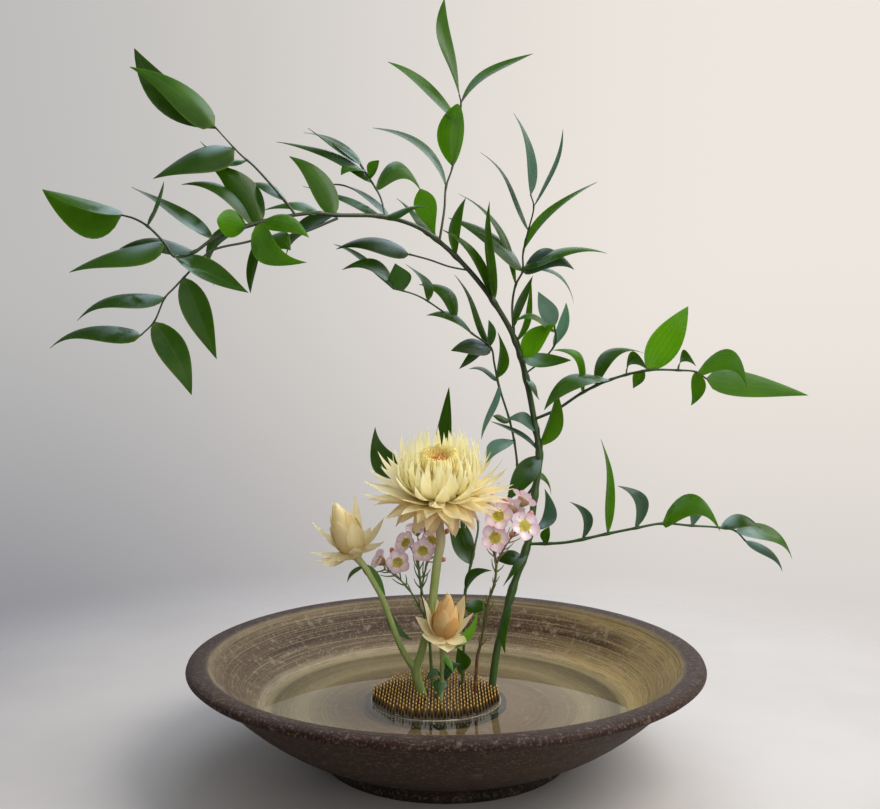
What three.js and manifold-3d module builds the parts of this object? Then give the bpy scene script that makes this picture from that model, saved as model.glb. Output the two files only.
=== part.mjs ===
// Ikebana arrangement in a wide shallow stoneware bowl. A pin holder stands in water and carries a
// ruscus branch that arches to the left with side branches to the right, a forked strawflower stem
// with a bloom and a bud, a second strawflower bud, and two waxflower sprigs.
// Millimetres, +Z up, -Y to the front, origin on the table under the centre of the bowl's foot.
import * as THREE from "three";
import { CatmullRomCurve3, LatheGeometry, Vector2, Vector3 } from "three";
import { ParametricGeometry } from "three/addons/geometries/ParametricGeometry.js";
import { mergeVertices } from "three/addons/utils/BufferGeometryUtils.js";
import Module from "manifold-3d";

const wasm = await Module();
wasm.setup();

// ---- Driving dimensions -------------------------------------------------------------------
const GAP = 0.3; // clearance between pieces that touch
const ROUND_SIDES = 36; // sides of the round ceramic, metal and water pieces

const BOWL = { radius: 151, height: 62, footRadius: 74.5, floorZ: 20, footRecess: 8 };
const WATER = { z: 32, radius: 107 };
const KENZAN = { x: -6, y: 1, radius: 39.3, height: 11, ringRadius: 42.3, ringHeight: 9.5 };
const PLATE = { radius: 38.6, thickness: 0.6 }; // brass plate that the needles are set in
const NEEDLE = { height: 5.6, radius: 0.75, pitch: 4.5 };
const kenzanTop = BOWL.floorZ + GAP + KENZAN.height;
const plateTop = kenzanTop + GAP + PLATE.thickness;
const STEM_END = plateTop + GAP; // cut stems stand on the plate

const LEAF_THICKNESS = 0.8;
const LEAF_SEAT = 0.8; // how far a leaf's base reaches into its stem
const BRACT_THICKNESS = 0.9;

// ---- Finishes -----------------------------------------------------------------------------
const finish = (color, roughness, metalness = 0) =>
  new THREE.MeshStandardMaterial({ color, roughness, metalness });
const STONEWARE = finish(0x5a483c, 0.5);
const CLEAR_WATER = finish(0xcfd6cf, 0.03);
const LEAD = finish(0xb9b3a8, 0.45, 0.8);
const BRASS = finish(0xb58a45, 0.35, 0.9);
const RUBBER = finish(0x33312e, 0.7);
const RUSCUS_STEM = finish(0x3c5724, 0.5);
const RUSCUS_LEAF = finish(0x3b6a17, 0.35);
const FLOWER_STEM = finish(0x8fa25a, 0.6);
const FLOWER_LEAF = finish(0x6c9440, 0.5);
const PALE_BRACT = finish(0xf2e9b4, 0.6);
const PEACH_BRACT = finish(0xe8cf98, 0.6);
const TAN_BRACT = finish(0xdcb468, 0.6);
const APRICOT_BRACT = finish(0xd6924a, 0.6);
const FLORETS = finish(0xc4922a, 0.8);
const WAX_STEM = finish(0x6b4a30, 0.7);
const WAX_PETAL = finish(0xeccbd9, 0.4);

const part = new THREE.Group();
part.name = "ikebana_arrangement";

// ---- Solids -------------------------------------------------------------------------------
function solidFrom(geometry) {
  const bare = geometry.clone();
  for (const name of Object.keys(bare.attributes)) if (name !== "position") bare.deleteAttribute(name);
  const merged = mergeVertices(bare, 1e-4);
  const corners = [];
  for (let i = 0; i < merged.index.count; i += 3) {
    const [a, b, c] = [0, 1, 2].map((k) => merged.index.getX(i + k));
    if (a !== b && b !== c && c !== a) corners.push([a, b, c]);
  }
  const build = (triangles) => new wasm.Manifold(new wasm.Mesh({
    numProp: 3,
    vertProperties: merged.attributes.position.array,
    triVerts: new Uint32Array(triangles.flat()),
  }));
  const solid = build(corners);
  return solid.volume() > 0 ? solid : build(corners.map(([a, b, c]) => [a, c, b]));
}

function add(name, solid, material) {
  const { vertProperties, triVerts } = solid.getMesh();
  const geometry = new THREE.BufferGeometry();
  geometry.setAttribute("position", new THREE.BufferAttribute(vertProperties, 3));
  geometry.setIndex(new THREE.BufferAttribute(triVerts, 1));
  geometry.computeVertexNormals();
  const mesh = new THREE.Mesh(geometry, material);
  mesh.name = name;
  part.add(mesh);
}

const join = (solids) => solids.reduce((sum, next) => sum.add(next));
const vector = (point) => new Vector3(...point);
const radians = THREE.MathUtils.degToRad;

// A solid of revolution about the vertical through (x, y), from (radius, height) points that start
// and end on the axis or close on themselves.
function turned(profile, { sides = ROUND_SIDES, x = 0, y = 0 } = {}) {
  const geometry = new LatheGeometry(profile.map(([r, z]) => new Vector2(r, z)), sides);
  geometry.rotateX(Math.PI / 2);
  geometry.translate(x, y, 0);
  return solidFrom(geometry);
}

const routeOf = (points) => new CatmullRomCurve3(points.map(vector), false, "centripetal");

// A round stem of one thickness along a smooth route through the points.
function stem(points, radius, sides = 6) {
  const section = new THREE.Shape(
    [...Array(sides).keys()].map((i) => {
      const turn = (2 * Math.PI * i) / sides;
      return new Vector2(radius * Math.cos(turn), radius * Math.sin(turn));
    }),
  );
  const path = routeOf(points);
  const steps = Math.round((points.length - 1) * 1.5);
  return solidFrom(new THREE.ExtrudeGeometry(section, { steps, bevelEnabled: false, extrudePath: path }));
}

// The spot on a route at a fractional point number: 2.5 is halfway between points 2 and 3.
const spotOn = (points, at) => routeOf(points).getPoint(at / (points.length - 1));

// A thin blade from base to tip. `bow` lifts its middle off the straight line, upwards if positive.
// `face` is how far the blade is turned from lying flat, front to back (0), to upright and facing
// the front (90). `outline` gives its width, as a share of the full one, from base (0) to tip (1).
const LEAF = { outline: (t) => 1.18 * Math.sin(Math.PI * t ** 0.72) ** 0.9, spans: 4, thickness: LEAF_THICKNESS };
const BRACT = { outline: (t) => Math.sin(Math.PI * (0.22 + 0.78 * t)), spans: 2, thickness: BRACT_THICKNESS };
function blade(base, tip, width, face, bow, { outline, spans, thickness } = LEAF) {
  const chord = tip.clone().sub(base);
  const along = chord.clone().normalize();
  const back = new Vector3(0, 1, 0).addScaledVector(along, -along.y).normalize();
  const lift = new Vector3().crossVectors(along, back);
  if (lift.z < 0) lift.negate();
  const across = back.clone().multiplyScalar(Math.cos(radians(face)));
  across.addScaledVector(lift, Math.sin(radians(face)));
  const normal = new Vector3().crossVectors(along, across);
  const surface = (t, around, target) => {
    const turn = 2 * Math.PI * around;
    const share = t === 0 || t === 1 ? 0 : Math.min(outline(t), 1);
    target.copy(base).addScaledVector(chord, t).addScaledVector(lift, 4 * bow * t * (1 - t));
    target.addScaledVector(across, 0.5 * width * share * Math.cos(turn));
    target.addScaledVector(normal, 0.5 * thickness * Math.sqrt(share) * Math.sin(turn));
  };
  return solidFrom(new ParametricGeometry(surface, spans, 4));
}

// ---- Bowl, water and pin holder ---------------------------------------------------------------
const innerWall = [
  [77, BOWL.floorZ], [85, 21], [97, 25], [107, 32], [118, 41], [128, 50], [136, 58],
];
const outerWall = [
  [BOWL.footRadius, 0], [75, 6], [77, 8], [103, 21.5], [126, 39], [142, 54.5], [147, 56],
];
const rim = [
  [BOWL.radius, 58.5], [149, 61], [145, BOWL.height], [140, 61.8], [138, 60.8],
];

function bowl() {
  const foot = [
    [0, BOWL.footRecess], [BOWL.footRadius - 12, BOWL.footRecess], [BOWL.footRadius - 10, 0],
  ];
  add("bowl", turned([...foot, ...outerWall, ...rim, ...innerWall.toReversed(), [0, BOWL.floorZ]]), STONEWARE);
}

function water() {
  const hole = KENZAN.ringRadius + 4 * GAP + 6;
  const bed = innerWall.filter(([r]) => r < WATER.radius).map(([r, z]) => [r - GAP, z + GAP]);
  const surface = [[WATER.radius - GAP, WATER.z], [hole, WATER.z]];
  const profile = [[hole, BOWL.floorZ + GAP], ...bed, ...surface, [hole, BOWL.floorZ + GAP]];
  add("water", turned(profile), CLEAR_WATER);
}

function pinHolder(stemEnds) {
  const bottom = BOWL.floorZ + GAP;
  const at = { sides: 40, x: KENZAN.x, y: KENZAN.y };
  const disc = (radius, low, high) => turned([[0, low], [radius, low], [radius, high], [0, high]], at);
  const inner = KENZAN.radius + GAP;
  const ringTop = bottom + KENZAN.ringHeight;
  const ring = [[inner, bottom], [KENZAN.ringRadius, bottom], [KENZAN.ringRadius, ringTop], [inner, ringTop]];
  add("kenzan_base", disc(KENZAN.radius, bottom, kenzanTop), LEAD);
  add("kenzan_rubber_ring", turned([...ring, ring[0]], at), RUBBER);
  add("kenzan_needles", join([disc(PLATE.radius, kenzanTop + GAP, plateTop), ...needles(stemEnds)]), BRASS);
}

// Pointed needles on a triangular grid, left out where a stem stands on the plate.
function needles(stemEnds) {
  const rowStep = NEEDLE.pitch * Math.sqrt(0.75);
  const reach = PLATE.radius - 1.5;
  const rows = Math.ceil(reach / rowStep);
  const found = [];
  for (let row = -rows; row <= rows; row++) {
    for (let column = -rows - 1; column <= rows + 1; column++) {
      const x = (column + (row % 2 === 0 ? 0 : 0.5)) * NEEDLE.pitch;
      const y = row * rowStep;
      const free = stemEnds.every(([sx, sy, radius]) =>
        Math.hypot(KENZAN.x + x - sx, KENZAN.y + y - sy) > radius + NEEDLE.radius + 5 * GAP);
      if (Math.hypot(x, y) > reach || !free) continue;
      const cone = new THREE.ConeGeometry(NEEDLE.radius, NEEDLE.height + GAP, 3);
      cone.rotateX(Math.PI / 2);
      cone.translate(KENZAN.x + x, KENZAN.y + y, plateTop - GAP + (NEEDLE.height + GAP) / 2);
      found.push(solidFrom(cone));
    }
  }
  return found;
}

// ---- Ruscus -------------------------------------------------------------------------------
// Each stem is a route of points. Each leaf is [place on the route, tip, width, face, bow], and a
// leaf with a name is a piece of its own.
const MAIN = {
  points: [
    [28, 13, STEM_END], [31, 14, 55], [34, 15, 68], [41, 17, 94], [51, 19, 124], [55, 21, 152],
    [58, 22, 176], [55, 23, 197], [49, 22, 227], [42, 19, 249], [29, 14, 271], [14, 6, 289],
    [0, 0, 302], [-15, -8, 312], [-35, -18, 317], [-61, -30, 316], [-75, -36, 316], [-101, -44, 310],
    [-126, -53, 299], [-135, -56, 292], [-145, -58, 289], [-150, -60, 296], [-159, -60, 305],
    [-166, -60, 309], [-173, -60, 311],
  ],
  thickness: [[0, 8, 2.1], [8, 15, 1.4], [15, 24, 0.9]], // radius from one point to another
  leaves: [
    [24, [-216, -58, 325], 20, 78, -8, "left_tip_leaf"],
    [22, [-149, -64, 328], 9, 15, -2],
    [21, [-200, -63, 280], 18, 45, 1, "left_drooping_leaf"],
    [20, [-104, -66, 269], 15, 48, 0, "left_inner_leaf"],
    [19, [-177, -52, 294], 14, 35, 5],
    [18, [-171, -50, 328], 13, 30, 1],
    [17.2, [-144, -50, 329], 12, 35, 8],
    [17, [-130, -46, 341], 17, 70, 5],
    [17.3, [-122, -60, 308], 15, 90, 0],
    [17.1, [-73, -66, 285], 14, 85, -9, "bright_hanging_leaf"],
    [17.2, [-129, -38, 275], 14, 40, 10],
    [15.7, [-103, -32, 318], 12, 30, 5],
    [17, [-74, -52, 300], 12, 60, 4],
    [15.1, [-92, -20, 294], 13, 45, 5],
    [15.1, [-89, -26, 350], 14, 65, 5],
    [14.1, [-84, -12, 336], 11, 20, 2],
    [13.9, [-72, -4, 338], 9, 18, 4],
    [12.4, [-15, -14, 334], 14, 85, 0],
    [12.5, [-30, 4, 332], 11, 30, 2],
    [14, [-10, -26, 321], 11, 30, 2],
    [10, [26, 2, 330], 10, 38, -2],
    [10, [-3, -6, 312], 12, 35, 5],
    [11.6, [12, 2, 332], 11, 40, 4],
    [8.9, [52, 14, 283], 6, 40, -3],
    [8.5, [66, 6, 257], 15, 60, 2],
    [8.5, [75, 2, 235], 13, 45, -3],
    [7.9, [57, 12, 211], 7, 30, 0],
    [6.3, [66, 2, 218], 12, 45, -5],
    [6, [37, 8, 150], 14, 60, 0],
    [6.1, [27, 12, 198], 8, 18, 2],
    [6.8, [37, 14, 199], 11, 48, 3],
    [4.2, [62, 30, 155], 11, 42, -8],
    [3.6, [31, 28, 110], 10, 50, 2],
    [3.8, [35, 12, 97], 8, 22, 0],
    [2.8, [36, 6, 57], 9, 35, 3],
  ],
};

// Short twigs that are one piece with the main stem.
const SHORT_TWIGS = {
  arch_twig: {
    points: [[-35, -18, 317], [-38, -14, 329], [-43, -12, 338], [-50, -10, 349]],
    radius: 0.7,
    leaves: [
      [2, [-100, -6, 363], 13, 28, 7],
      [3, [-80, -14, 369], 10, 24, -2],
      [2.9, [-85, 0, 370], 11, 27, 4],
      [2.6, [-60, -22, 340], 12, 35, 4],
      [2.3, [-38, -24, 348], 9, 60, 0],
      [1.6, [-14, -4, 333], 15, 55, 14],
    ],
  },
  arch_low_twig: {
    points: [[14, 6, 289], [2, 3, 291], [-10, 2, 295], [-22, 0, 298]],
    radius: 0.7,
    leaves: [[3, [-65, -6, 300], 15, 45, 5]],
  },
  right_short_twig: {
    points: [[49, 22, 227], [60, 20, 236], [67, 16, 246], [66, 13, 256]],
    radius: 0.7,
    leaves: [
      [2.7, [41, 4, 258], 10, 30, 6],
      [1.8, [74, 20, 271], 9, 42, -3],
      [3, [56, 12, 277], 12, 70, 0],
    ],
  },
};

const TWIGS = {
  left_lower_twig: {
    points: [
      [-61, -31, 314], [-82, -40, 304], [-100, -44, 301], [-110, -48, 298], [-127, -52, 293],
      [-135, -54, 285], [-141, -56, 278], [-146, -58, 272], [-150, -60, 267], [-156, -60, 254],
      [-163, -60, 247],
    ],
    radius: 0.8,
    leaves: [
      [2.2, [-108, -42, 271], 12, 40, 0],
      [1.9, [-85, -46, 294], 12, 70, 3],
      [6, [-122, -62, 234], 14.5, 80, 0, "left_hanging_leaf"],
      [9, [-135, -64, 215], 15, 75, 2, "left_low_leaf"],
      [10, [-214, -55, 240], 14, 38, 6, "left_low_tip_leaf"],
      [8, [-195, -66, 254], 15, 38, 6, "left_side_leaf"],
    ],
  },
  left_upper_twig: {
    points: [
      [-83, -39, 314], [-89, -41, 322], [-105, -46, 340], [-111, -48, 345], [-115, -49, 349],
      [-125, -52, 360],
    ],
    radius: 0.8,
    leaves: [
      [4.9, [-170, -46, 404], 16, 78, -7, "left_top_back_leaf"],
      [5, [-169, -58, 390], 16, 66, 3.5, "left_top_leaf"],
      [4, [-156, -60, 330], 21, 55, 3, "left_upper_leaf"],
      [2.5, [-135, -44, 354], 10, 30, -4],
      [1, [-111, -34, 333], 12, 30, 4],
    ],
  },
  top_twig: {
    points: [[-4, -2, 305], [-1, 2, 325], [0, 6, 339], [4, 8, 352], [9, 10, 390], [8, 10, 395]],
    radius: 0.8,
    leaves: [
      [2, [-45, 16, 377], 13, 30, 10],
      [3, [7, 4, 388], 16, 88, 3, "top_round_leaf"],
      [5, [-1, 8, 452], 11, 48, -4, "top_leaf"],
      [4, [53, 14, 421], 11, 40, 5, "top_right_leaf"],
      [3.6, [-35, 4, 413], 12, 42, 2],
    ],
  },
  upper_right_twig: {
    points: [
      [42, 20, 249], [41, 22, 270], [43, 20, 282], [47, 18, 290], [47, 16, 300], [50, 13, 314],
      [53, 10, 328], [51, 9, 335],
    ],
    radius: 0.8,
    leaves: [
      [0.3, [54, 26, 288], 10, 30, 2],
      [7, [40, 4, 383], 10, 38, 3],
      [6, [71, 14, 376], 8, 20, -3],
      [5, [20, 10, 361], 9, 22, 6],
      [4.2, [91, 6, 342], 11, 27, 4],
      [2, [7, 26, 339], 11, 27, 10],
      [3, [1, 20, 323], 15, 42, 5],
      [3, [78, 12, 290], 16, 60, 8],
      [3.2, [97, 6, 299], 12, 36, 5],
      [3.1, [79, 22, 270], 8, 24, 9],
    ],
  },
  loop_twig: {
    points: [
      [57, 23, 170], [54, 29, 155], [49, 31, 150], [45, 32, 162], [45, 32, 169], [43, 32, 185],
      [40, 31, 198], [33, 28, 220], [30, 26, 234], [28, 24, 243], [16, 20, 252], [6, 15, 260],
      [-2, 12, 265], [-13, 8, 272], [-20, 5, 275], [-32, 2, 278],
    ],
    radius: 0.9,
    leaves: [
      [15, [-68, 6, 305], 10, 22, 2],
      [14.9, [-62, -4, 288], 12, 45, 8],
      [14.5, [-30, -6, 292], 14, 88, 0],
      [12.8, [-25, 14, 294], 10, 28, 3],
      [11, [-17, 20, 282], 13, 42, 9],
      [10, [-12, 6, 262], 12, 30, 5],
      [9, [3, 14, 241], 14, 50, 2],
      [9.2, [8, 18, 230], 9, 40, 0],
      [9.1, [26, 14, 260], 9, 40, 0],
      [7.3, [32, 22, 253], 10, 35, -3],
      [9, [5, 26, 289], 9, 25, 3],
      [7.2, [14, 20, 230], 9, 25, 3],
      [7, [22, 24, 186], 9, 25, 0],
      [5, [24, 22, 169], 11, 48, 4],
      [6, [29, 24, 201], 7, 40, 0],
      [4, [67, 38, 150], 8, 28, 5],
    ],
  },
  back_twig: {
    points: [
      [10, 14, STEM_END], [11, 16, 60], [12, 18, 93], [17, 24, 115], [20, 36, 134], [8, 46, 150],
      [-8, 49, 155], [-22, 50, 162],
    ],
    radius: 0.9,
    leaves: [
      [5.6, [2, 46, 219], 12, 60, 0],
      [7, [-46, 50, 193], 17, 78, -10],
      [2.7, [2, 30, 135], 13, 65, 0],
      [3.1, [9, 30, 137], 9, 45, 0],
      [2, [28, 10, 107], 9, 32, 4],
      [1.7, [27, 8, 86], 9, 50, 0],
      [0.4, [7, 6, 61], 11, 55, 0],
    ],
  },
  right_upper_twig: {
    points: [
      [55, 22, 199], [68, 18, 205], [84, 13, 216], [101, 8, 224], [121, 4, 229], [139, 1, 229],
      [149, 0, 228], [155, 0, 224],
    ],
    radius: 1,
    leaves: [
      [2, [63, 2, 241], 11, 42, 11],
      [2.9, [58, -4, 205], 13, 44, 9],
      [2.4, [122, 14, 239], 12, 36, 12],
      [3.4, [119, -6, 229], 9, 55, 8],
      [3.9, [113, 8, 218], 8, 50, 0],
      [4, [144, 0, 267], 18, 85, 0, "right_bright_leaf"],
      [5, [147, -8, 231], 9, 50, 7],
      [6, [145, -4, 208], 8.5, 60, -3],
      [6.1, [177, -8, 218], 14, 78, 13, "right_arched_leaf"],
      [7, [216, 0, 214], 16, 68, 0, "right_tip_leaf"],
    ],
  },
  right_lower_twig: {
    points: [
      [51, 18, 122], [73, 12, 124], [98, 8, 130], [115, 5, 134], [130, 3, 137], [147, 1, 136],
      [164, 0, 135], [173, 0, 133], [179, 0, 127],
    ],
    radius: 1,
    leaves: [
      [0.45, [63, 10, 134], 8, 38, 0],
      [1.4, [74, 4, 150], 10, 45, 6],
      [2, [93, 4, 188], 12, 36, 3, "right_upright_leaf"],
      [3, [102, 0, 160], 13, 50, 8],
      [4, [163, -4, 133], 15, 66, 14, "right_folded_leaf"],
      [5, [158, 6, 140], 8, 60, 6],
      [6, [187, -4, 135], 11, 40, 5],
      [7, [207, 0, 116], 13, 40, 6],
      [8, [202, 2, 108], 9, 35, 4],
    ],
  },
};

// A leaf starts a little inside the wood that carries it.
function leafSolid(points, [at, tip, width, face, bow]) {
  const spot = spotOn(points, at);
  const inward = spot.clone().sub(vector(tip)).setLength(LEAF_SEAT);
  return blade(spot.add(inward), vector(tip), width, face, bow);
}

function spray(name, { points, leaves }, wood, clearWood, parentClear) {
  const joined = leaves.filter((leaf) => leaf.length === 5).map((leaf) => leafSolid(points, leaf));
  const whole = join([wood, ...joined]);
  add(name, parentClear ? whole.subtract(parentClear) : whole, RUSCUS_STEM);
  for (const leaf of leaves.filter((entry) => entry.length === 6)) {
    add(leaf[5], leafSolid(points, leaf).subtract(clearWood), RUSCUS_LEAF);
  }
}

function ruscus() {
  const mainWood = (extra) => join(MAIN.thickness.map(([from, to, radius]) =>
    stem(MAIN.points.slice(from, to + 1), radius + extra)));
  const mainClear = mainWood(GAP);
  const shortSprays = Object.values(SHORT_TWIGS).flatMap(({ points, radius, leaves }) =>
    [stem(points, radius, 5), ...leaves.map((leaf) => leafSolid(points, leaf))]);
  spray("ruscus_main_stem", MAIN, join([mainWood(0), ...shortSprays]), mainClear, null);
  for (const [name, twig] of Object.entries(TWIGS)) {
    const wood = (extra) => stem(twig.points, twig.radius + extra, 5);
    spray(name, twig, wood(0), wood(GAP), mainClear);
  }
}

// ---- Strawflowers ---------------------------------------------------------------------------
const BLOOM = { x: -4, y: -2, baseZ: 145, discZ: 180, lean: 16 };
const bloomLean = new THREE.Matrix4().makeTranslation(BLOOM.x, BLOOM.y, BLOOM.baseZ)
  .multiply(new THREE.Matrix4().makeRotationX(radians(BLOOM.lean)))
  .multiply(new THREE.Matrix4().makeTranslation(-BLOOM.x, -BLOOM.y, -BLOOM.baseZ));
// Rows of bracts from the lowest, before the bloom leans forward: count, ring height, tip radius,
// tip height, width, bow.
const BRACT_ROWS = [
  ["drooping_bracts", 13, 149, 24, 138, 9, 3],
  ["lower_bracts", 16, 152, 43, 158, 9, 0],
  ["wide_bracts", 16, 155, 42, 166, 8.5, -1],
  ["middle_bracts", 14, 158, 35, 178, 8, -2],
  ["upper_bracts", 13, 162, 25, 190, 7.5, -3],
  ["inner_bracts", 10, 166, 16, 190, 6.5, -4],
];
const CORE_RADIUS = 5;
const RING_WIDTH = 2.5;

function bractRow(index) {
  const [name, count, height, tipRadius, tipHeight, width, bow] = BRACT_ROWS[index];
  const at = { sides: 12, x: BLOOM.x, y: BLOOM.y };
  const inner = CORE_RADIUS + GAP;
  const outer = inner + RING_WIDTH;
  const ring = [[inner, height], [outer, height], [outer, height + 1.8], [inner, height + 1.8]];
  const bracts = [...Array(count).keys()].map((i) => {
    const turn = (2 * Math.PI * (i + 0.5 * (index % 2))) / count;
    const spot = (radius, z) => new Vector3(
      BLOOM.x + radius * Math.cos(turn), BLOOM.y + radius * Math.sin(turn), z);
    return radialBlade(spot(inner + 1, height + 0.9), spot(tipRadius, tipHeight), turn, width, bow);
  });
  const row = join([turned([...ring, ring[0]], at), ...bracts]).transform(bloomLean.elements);
  add(`bloom_${name}`, row, index ? PALE_BRACT : PEACH_BRACT);
}

// A bract that lies across the ray it points along, with its width level.
function radialBlade(base, tip, turn, width, bow) {
  const side = new Vector3(-Math.sin(turn), Math.cos(turn), 0);
  const chord = tip.clone().sub(base);
  const up = new Vector3().crossVectors(chord, side).normalize();
  if (up.z < 0) up.negate();
  const surface = (t, around, target) => {
    const angle = 2 * Math.PI * around;
    const share = t === 0 || t === 1 ? 0 : BRACT.outline(t);
    target.copy(base).addScaledVector(chord, t).addScaledVector(up, 4 * bow * t * (1 - t));
    target.addScaledVector(side, 0.5 * width * share * Math.cos(angle));
    target.addScaledVector(up, 0.5 * BRACT.thickness * Math.sqrt(share) * Math.sin(angle));
  };
  return solidFrom(new ParametricGeometry(surface, BRACT.spans, 4));
}

const FLOWER_STEMS = {
  strawflower_stem: {
    branches: [
      [[-14, -1, STEM_END + GAP], [-18, -2, 50], [-15, -2, 59], [-12, -2, 72], [-8, -2, 91], [-7, -2, 100],
        [-5, -2, 116], [-3, -1, 128], [-4, 0.8, 136], [BLOOM.x, BLOOM.y + 0.1, BLOOM.baseZ - GAP]],
      [[-18, -2, 49], [-25, -3, 60], [-29, -4, 69], [-33, -5, 80], [-38, -6, 94], [-44, -6, 105],
        [-48, -6, 112], [-53, -6, 118]],
    ],
    radius: 2.2,
    leaves: [
      [[-50, -6, 114], [-36, -3, 93], 7, 45, 3],
      [[-49, -6, 113], [-58, -12, 104], 4, 40, 2],
      [[-35, -5, 85], [-20, 0, 67], 6, 55, -3],
    ],
  },
  front_bud_stem: {
    branches: [[[-4, -12, STEM_END], [-2, -12, 50], [-2, -12, 60], [-2, -12, 70]]],
    radius: 1.9,
    leaves: [
      [[-2, -12, 66], [18, -16, 88], 6, 66, -6],
      [[-2, -12, 62], [4, -16, 52], 4, 60, 1],
      [[-2, -12, 46], [9, -15, 57], 8, 50, 4],
      [[-2, -12, 49], [-12, -15, 47], 5, 45, 3],
      [[-2, -12, 48], [-4, -18, 39.5], 8, 75, 1],
    ],
  },
};

function bloom() {
  const at = { sides: 12, x: BLOOM.x, y: BLOOM.y };
  const dome = [
    [0, BLOOM.baseZ], [4, BLOOM.baseZ], [CORE_RADIUS, 149], [CORE_RADIUS, 169], [9, 172], [10.5, 177],
    [8, BLOOM.discZ], [0, BLOOM.discZ + 1],
  ];
  add("bloom_centre", turned(dome, at).transform(bloomLean.elements), FLORETS);
  BRACT_ROWS.forEach((row, index) => bractRow(index));
}

// A closed bud: a tapered heart of folded bracts, and a collar of bracts that stand away from it.
function bud(name, base, top, radius, tips, material) {
  const axis = top.clone().sub(base);
  const tilt = new THREE.Quaternion().setFromUnitVectors(new Vector3(0, 0, 1), axis.clone().normalize());
  const shaped = (profile) => {
    const geometry = new LatheGeometry(profile.map(([r, z]) => new Vector2(r, z)), 10);
    geometry.rotateX(Math.PI / 2);
    geometry.applyQuaternion(tilt);
    geometry.translate(...base);
    return solidFrom(geometry);
  };
  const height = axis.length();
  const heart = (extra) => shaped([
    [0, 0.12 * height - extra], [0.4 * radius + extra, 0.15 * height - extra],
    [0.85 * radius + extra, 0.35 * height], [radius + extra, 0.5 * height],
    [0.75 * radius + extra, 0.72 * height], [0, height + 2 * extra],
  ]);
  const collar = shaped([[0, 0], [0.5 * radius, 0], [0.7 * radius, 0.14 * height], [0, 0.14 * height]]);
  const bracts = tips.map(([x, y, z, width]) => {
    const tip = new Vector3(x, y, z);
    const outward = tip.clone().sub(base).projectOnPlane(axis.clone().normalize()).setLength(0.45 * radius);
    const root = base.clone().addScaledVector(axis, 0.07).add(outward);
    return radialBlade(root, tip, Math.atan2(y - root.y, x - root.x), width, -0.4 * radius);
  });
  add(`${name}_heart`, heart(0), material);
  add(`${name}_bracts`, join([collar, ...bracts]).subtract(heart(GAP)), TAN_BRACT);
}

function strawflowers() {
  for (const [name, { branches, radius, leaves }] of Object.entries(FLOWER_STEMS)) {
    const blades = leaves.map(([base, tip, ...shape]) => blade(vector(base), vector(tip), ...shape));
    add(name, join([...branches.map((points) => stem(points, radius)), ...blades]), FLOWER_STEM);
  }
  bloom();
  bud("left_bud", new Vector3(-53.3, -6, 118.9), new Vector3(-66, -6, 151), 8.6, [
    [-80, -4, 139, 8], [-80, -12, 122, 8], [-72, -22, 116, 8], [-37, -2, 141, 8], [-36, -12, 129, 8],
    [-52, -24, 128, 8], [-60, 12, 124, 8], [-74, 8, 130, 8], [-46, 8, 134, 8],
  ], TAN_BRACT);
  bud("front_bud", new Vector3(-2, -12, 70.4), new Vector3(2, -12, 98), 7.3, [
    [-18, -10, 85, 8], [-15, -15, 97, 8], [10, -8, 96, 8], [15, -14, 88, 8], [12, -21, 73, 8],
    [1, -26, 68, 8], [-14, -17, 76, 8], [4, 4, 90, 8],
  ], APRICOT_BRACT);
}

// ---- Waxflowers -----------------------------------------------------------------------------
// Each sprig is a list of branch routes. A flower is [x, y, z, turn, tilt, branch, place on it]:
// its middle, the way it faces, and where its stalk leaves the sprig.
const SPRIGS = {
  left: {
    branches: [
      [[-8, 6, STEM_END], [-9, 7, 50], [-11, 8, 75], [-15, 8, 96], [-17, 11, 113], [-17, 18, 125]],
      [[-11, 8, 75], [-22, 9, 95], [-31, 10, 104], [-38, 11, 108]],
      [[-15, 8, 96], [-12, 10, 110], [-8, 11, 122]],
    ],
    flowers: [
      [-40, 10, 113, 200, 60, 1, 2.6], [-29, 4, 113, 270, 70, 1, 1.6], [-24, 8, 124, 230, 60, 0, 3.6],
      [-14, 4, 120, 275, 70, 0, 4], [-18, 20, 130, 250, 20, 0, 4.6], [-9, 12, 125, 300, 50, 2, 1.5],
    ],
  },
  right: {
    branches: [
      [[17, -1, STEM_END], [18, -1, 46], [19, -1, 58], [22, -1, 70], [23, -2, 80], [26, -2, 93],
        [29, -2, 102], [30, -2, 113], [28, -3, 124], [29, -3, 138]],
      [[30, -2, 113], [35, -4, 124], [41, -5, 133], [44, -5, 140]],
    ],
    flowers: [
      [31, -8, 143, 260, 70, 0, 8.4], [39, 0, 146, 60, 40, 1, 2.4], [46, -9, 137, 290, 70, 1, 1.6],
      [29, -9, 130, 265, 70, 0, 7.4], [24, -2, 149, 170, 40, 0, 8.8], [46, -2, 151, 30, 40, 1, 2.8],
    ],
  },
};

const CUP_RADIUS = 2.6;

function waxFlower([x, y, z, turn, tilt]) {
  const cup = new THREE.OctahedronGeometry(CUP_RADIUS, 0);
  const petals = [...Array(5).keys()].map((i) => {
    const angle = (2 * Math.PI * i) / 5;
    const tip = new Vector3(6.6 * Math.cos(angle), 6.6 * Math.sin(angle), 2);
    return radialBlade(new Vector3(0, 0, 0.5), tip, angle, 5.5, 0);
  });
  const upright = join([solidFrom(cup), ...petals]);
  const spin = new THREE.Matrix4().makeRotationZ(radians(turn));
  const lean = new THREE.Matrix4().makeRotationY(radians(tilt));
  const place = new THREE.Matrix4().makeTranslation(x, y, z).multiply(spin).multiply(lean);
  return upright.transform(place.elements);
}

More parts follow.
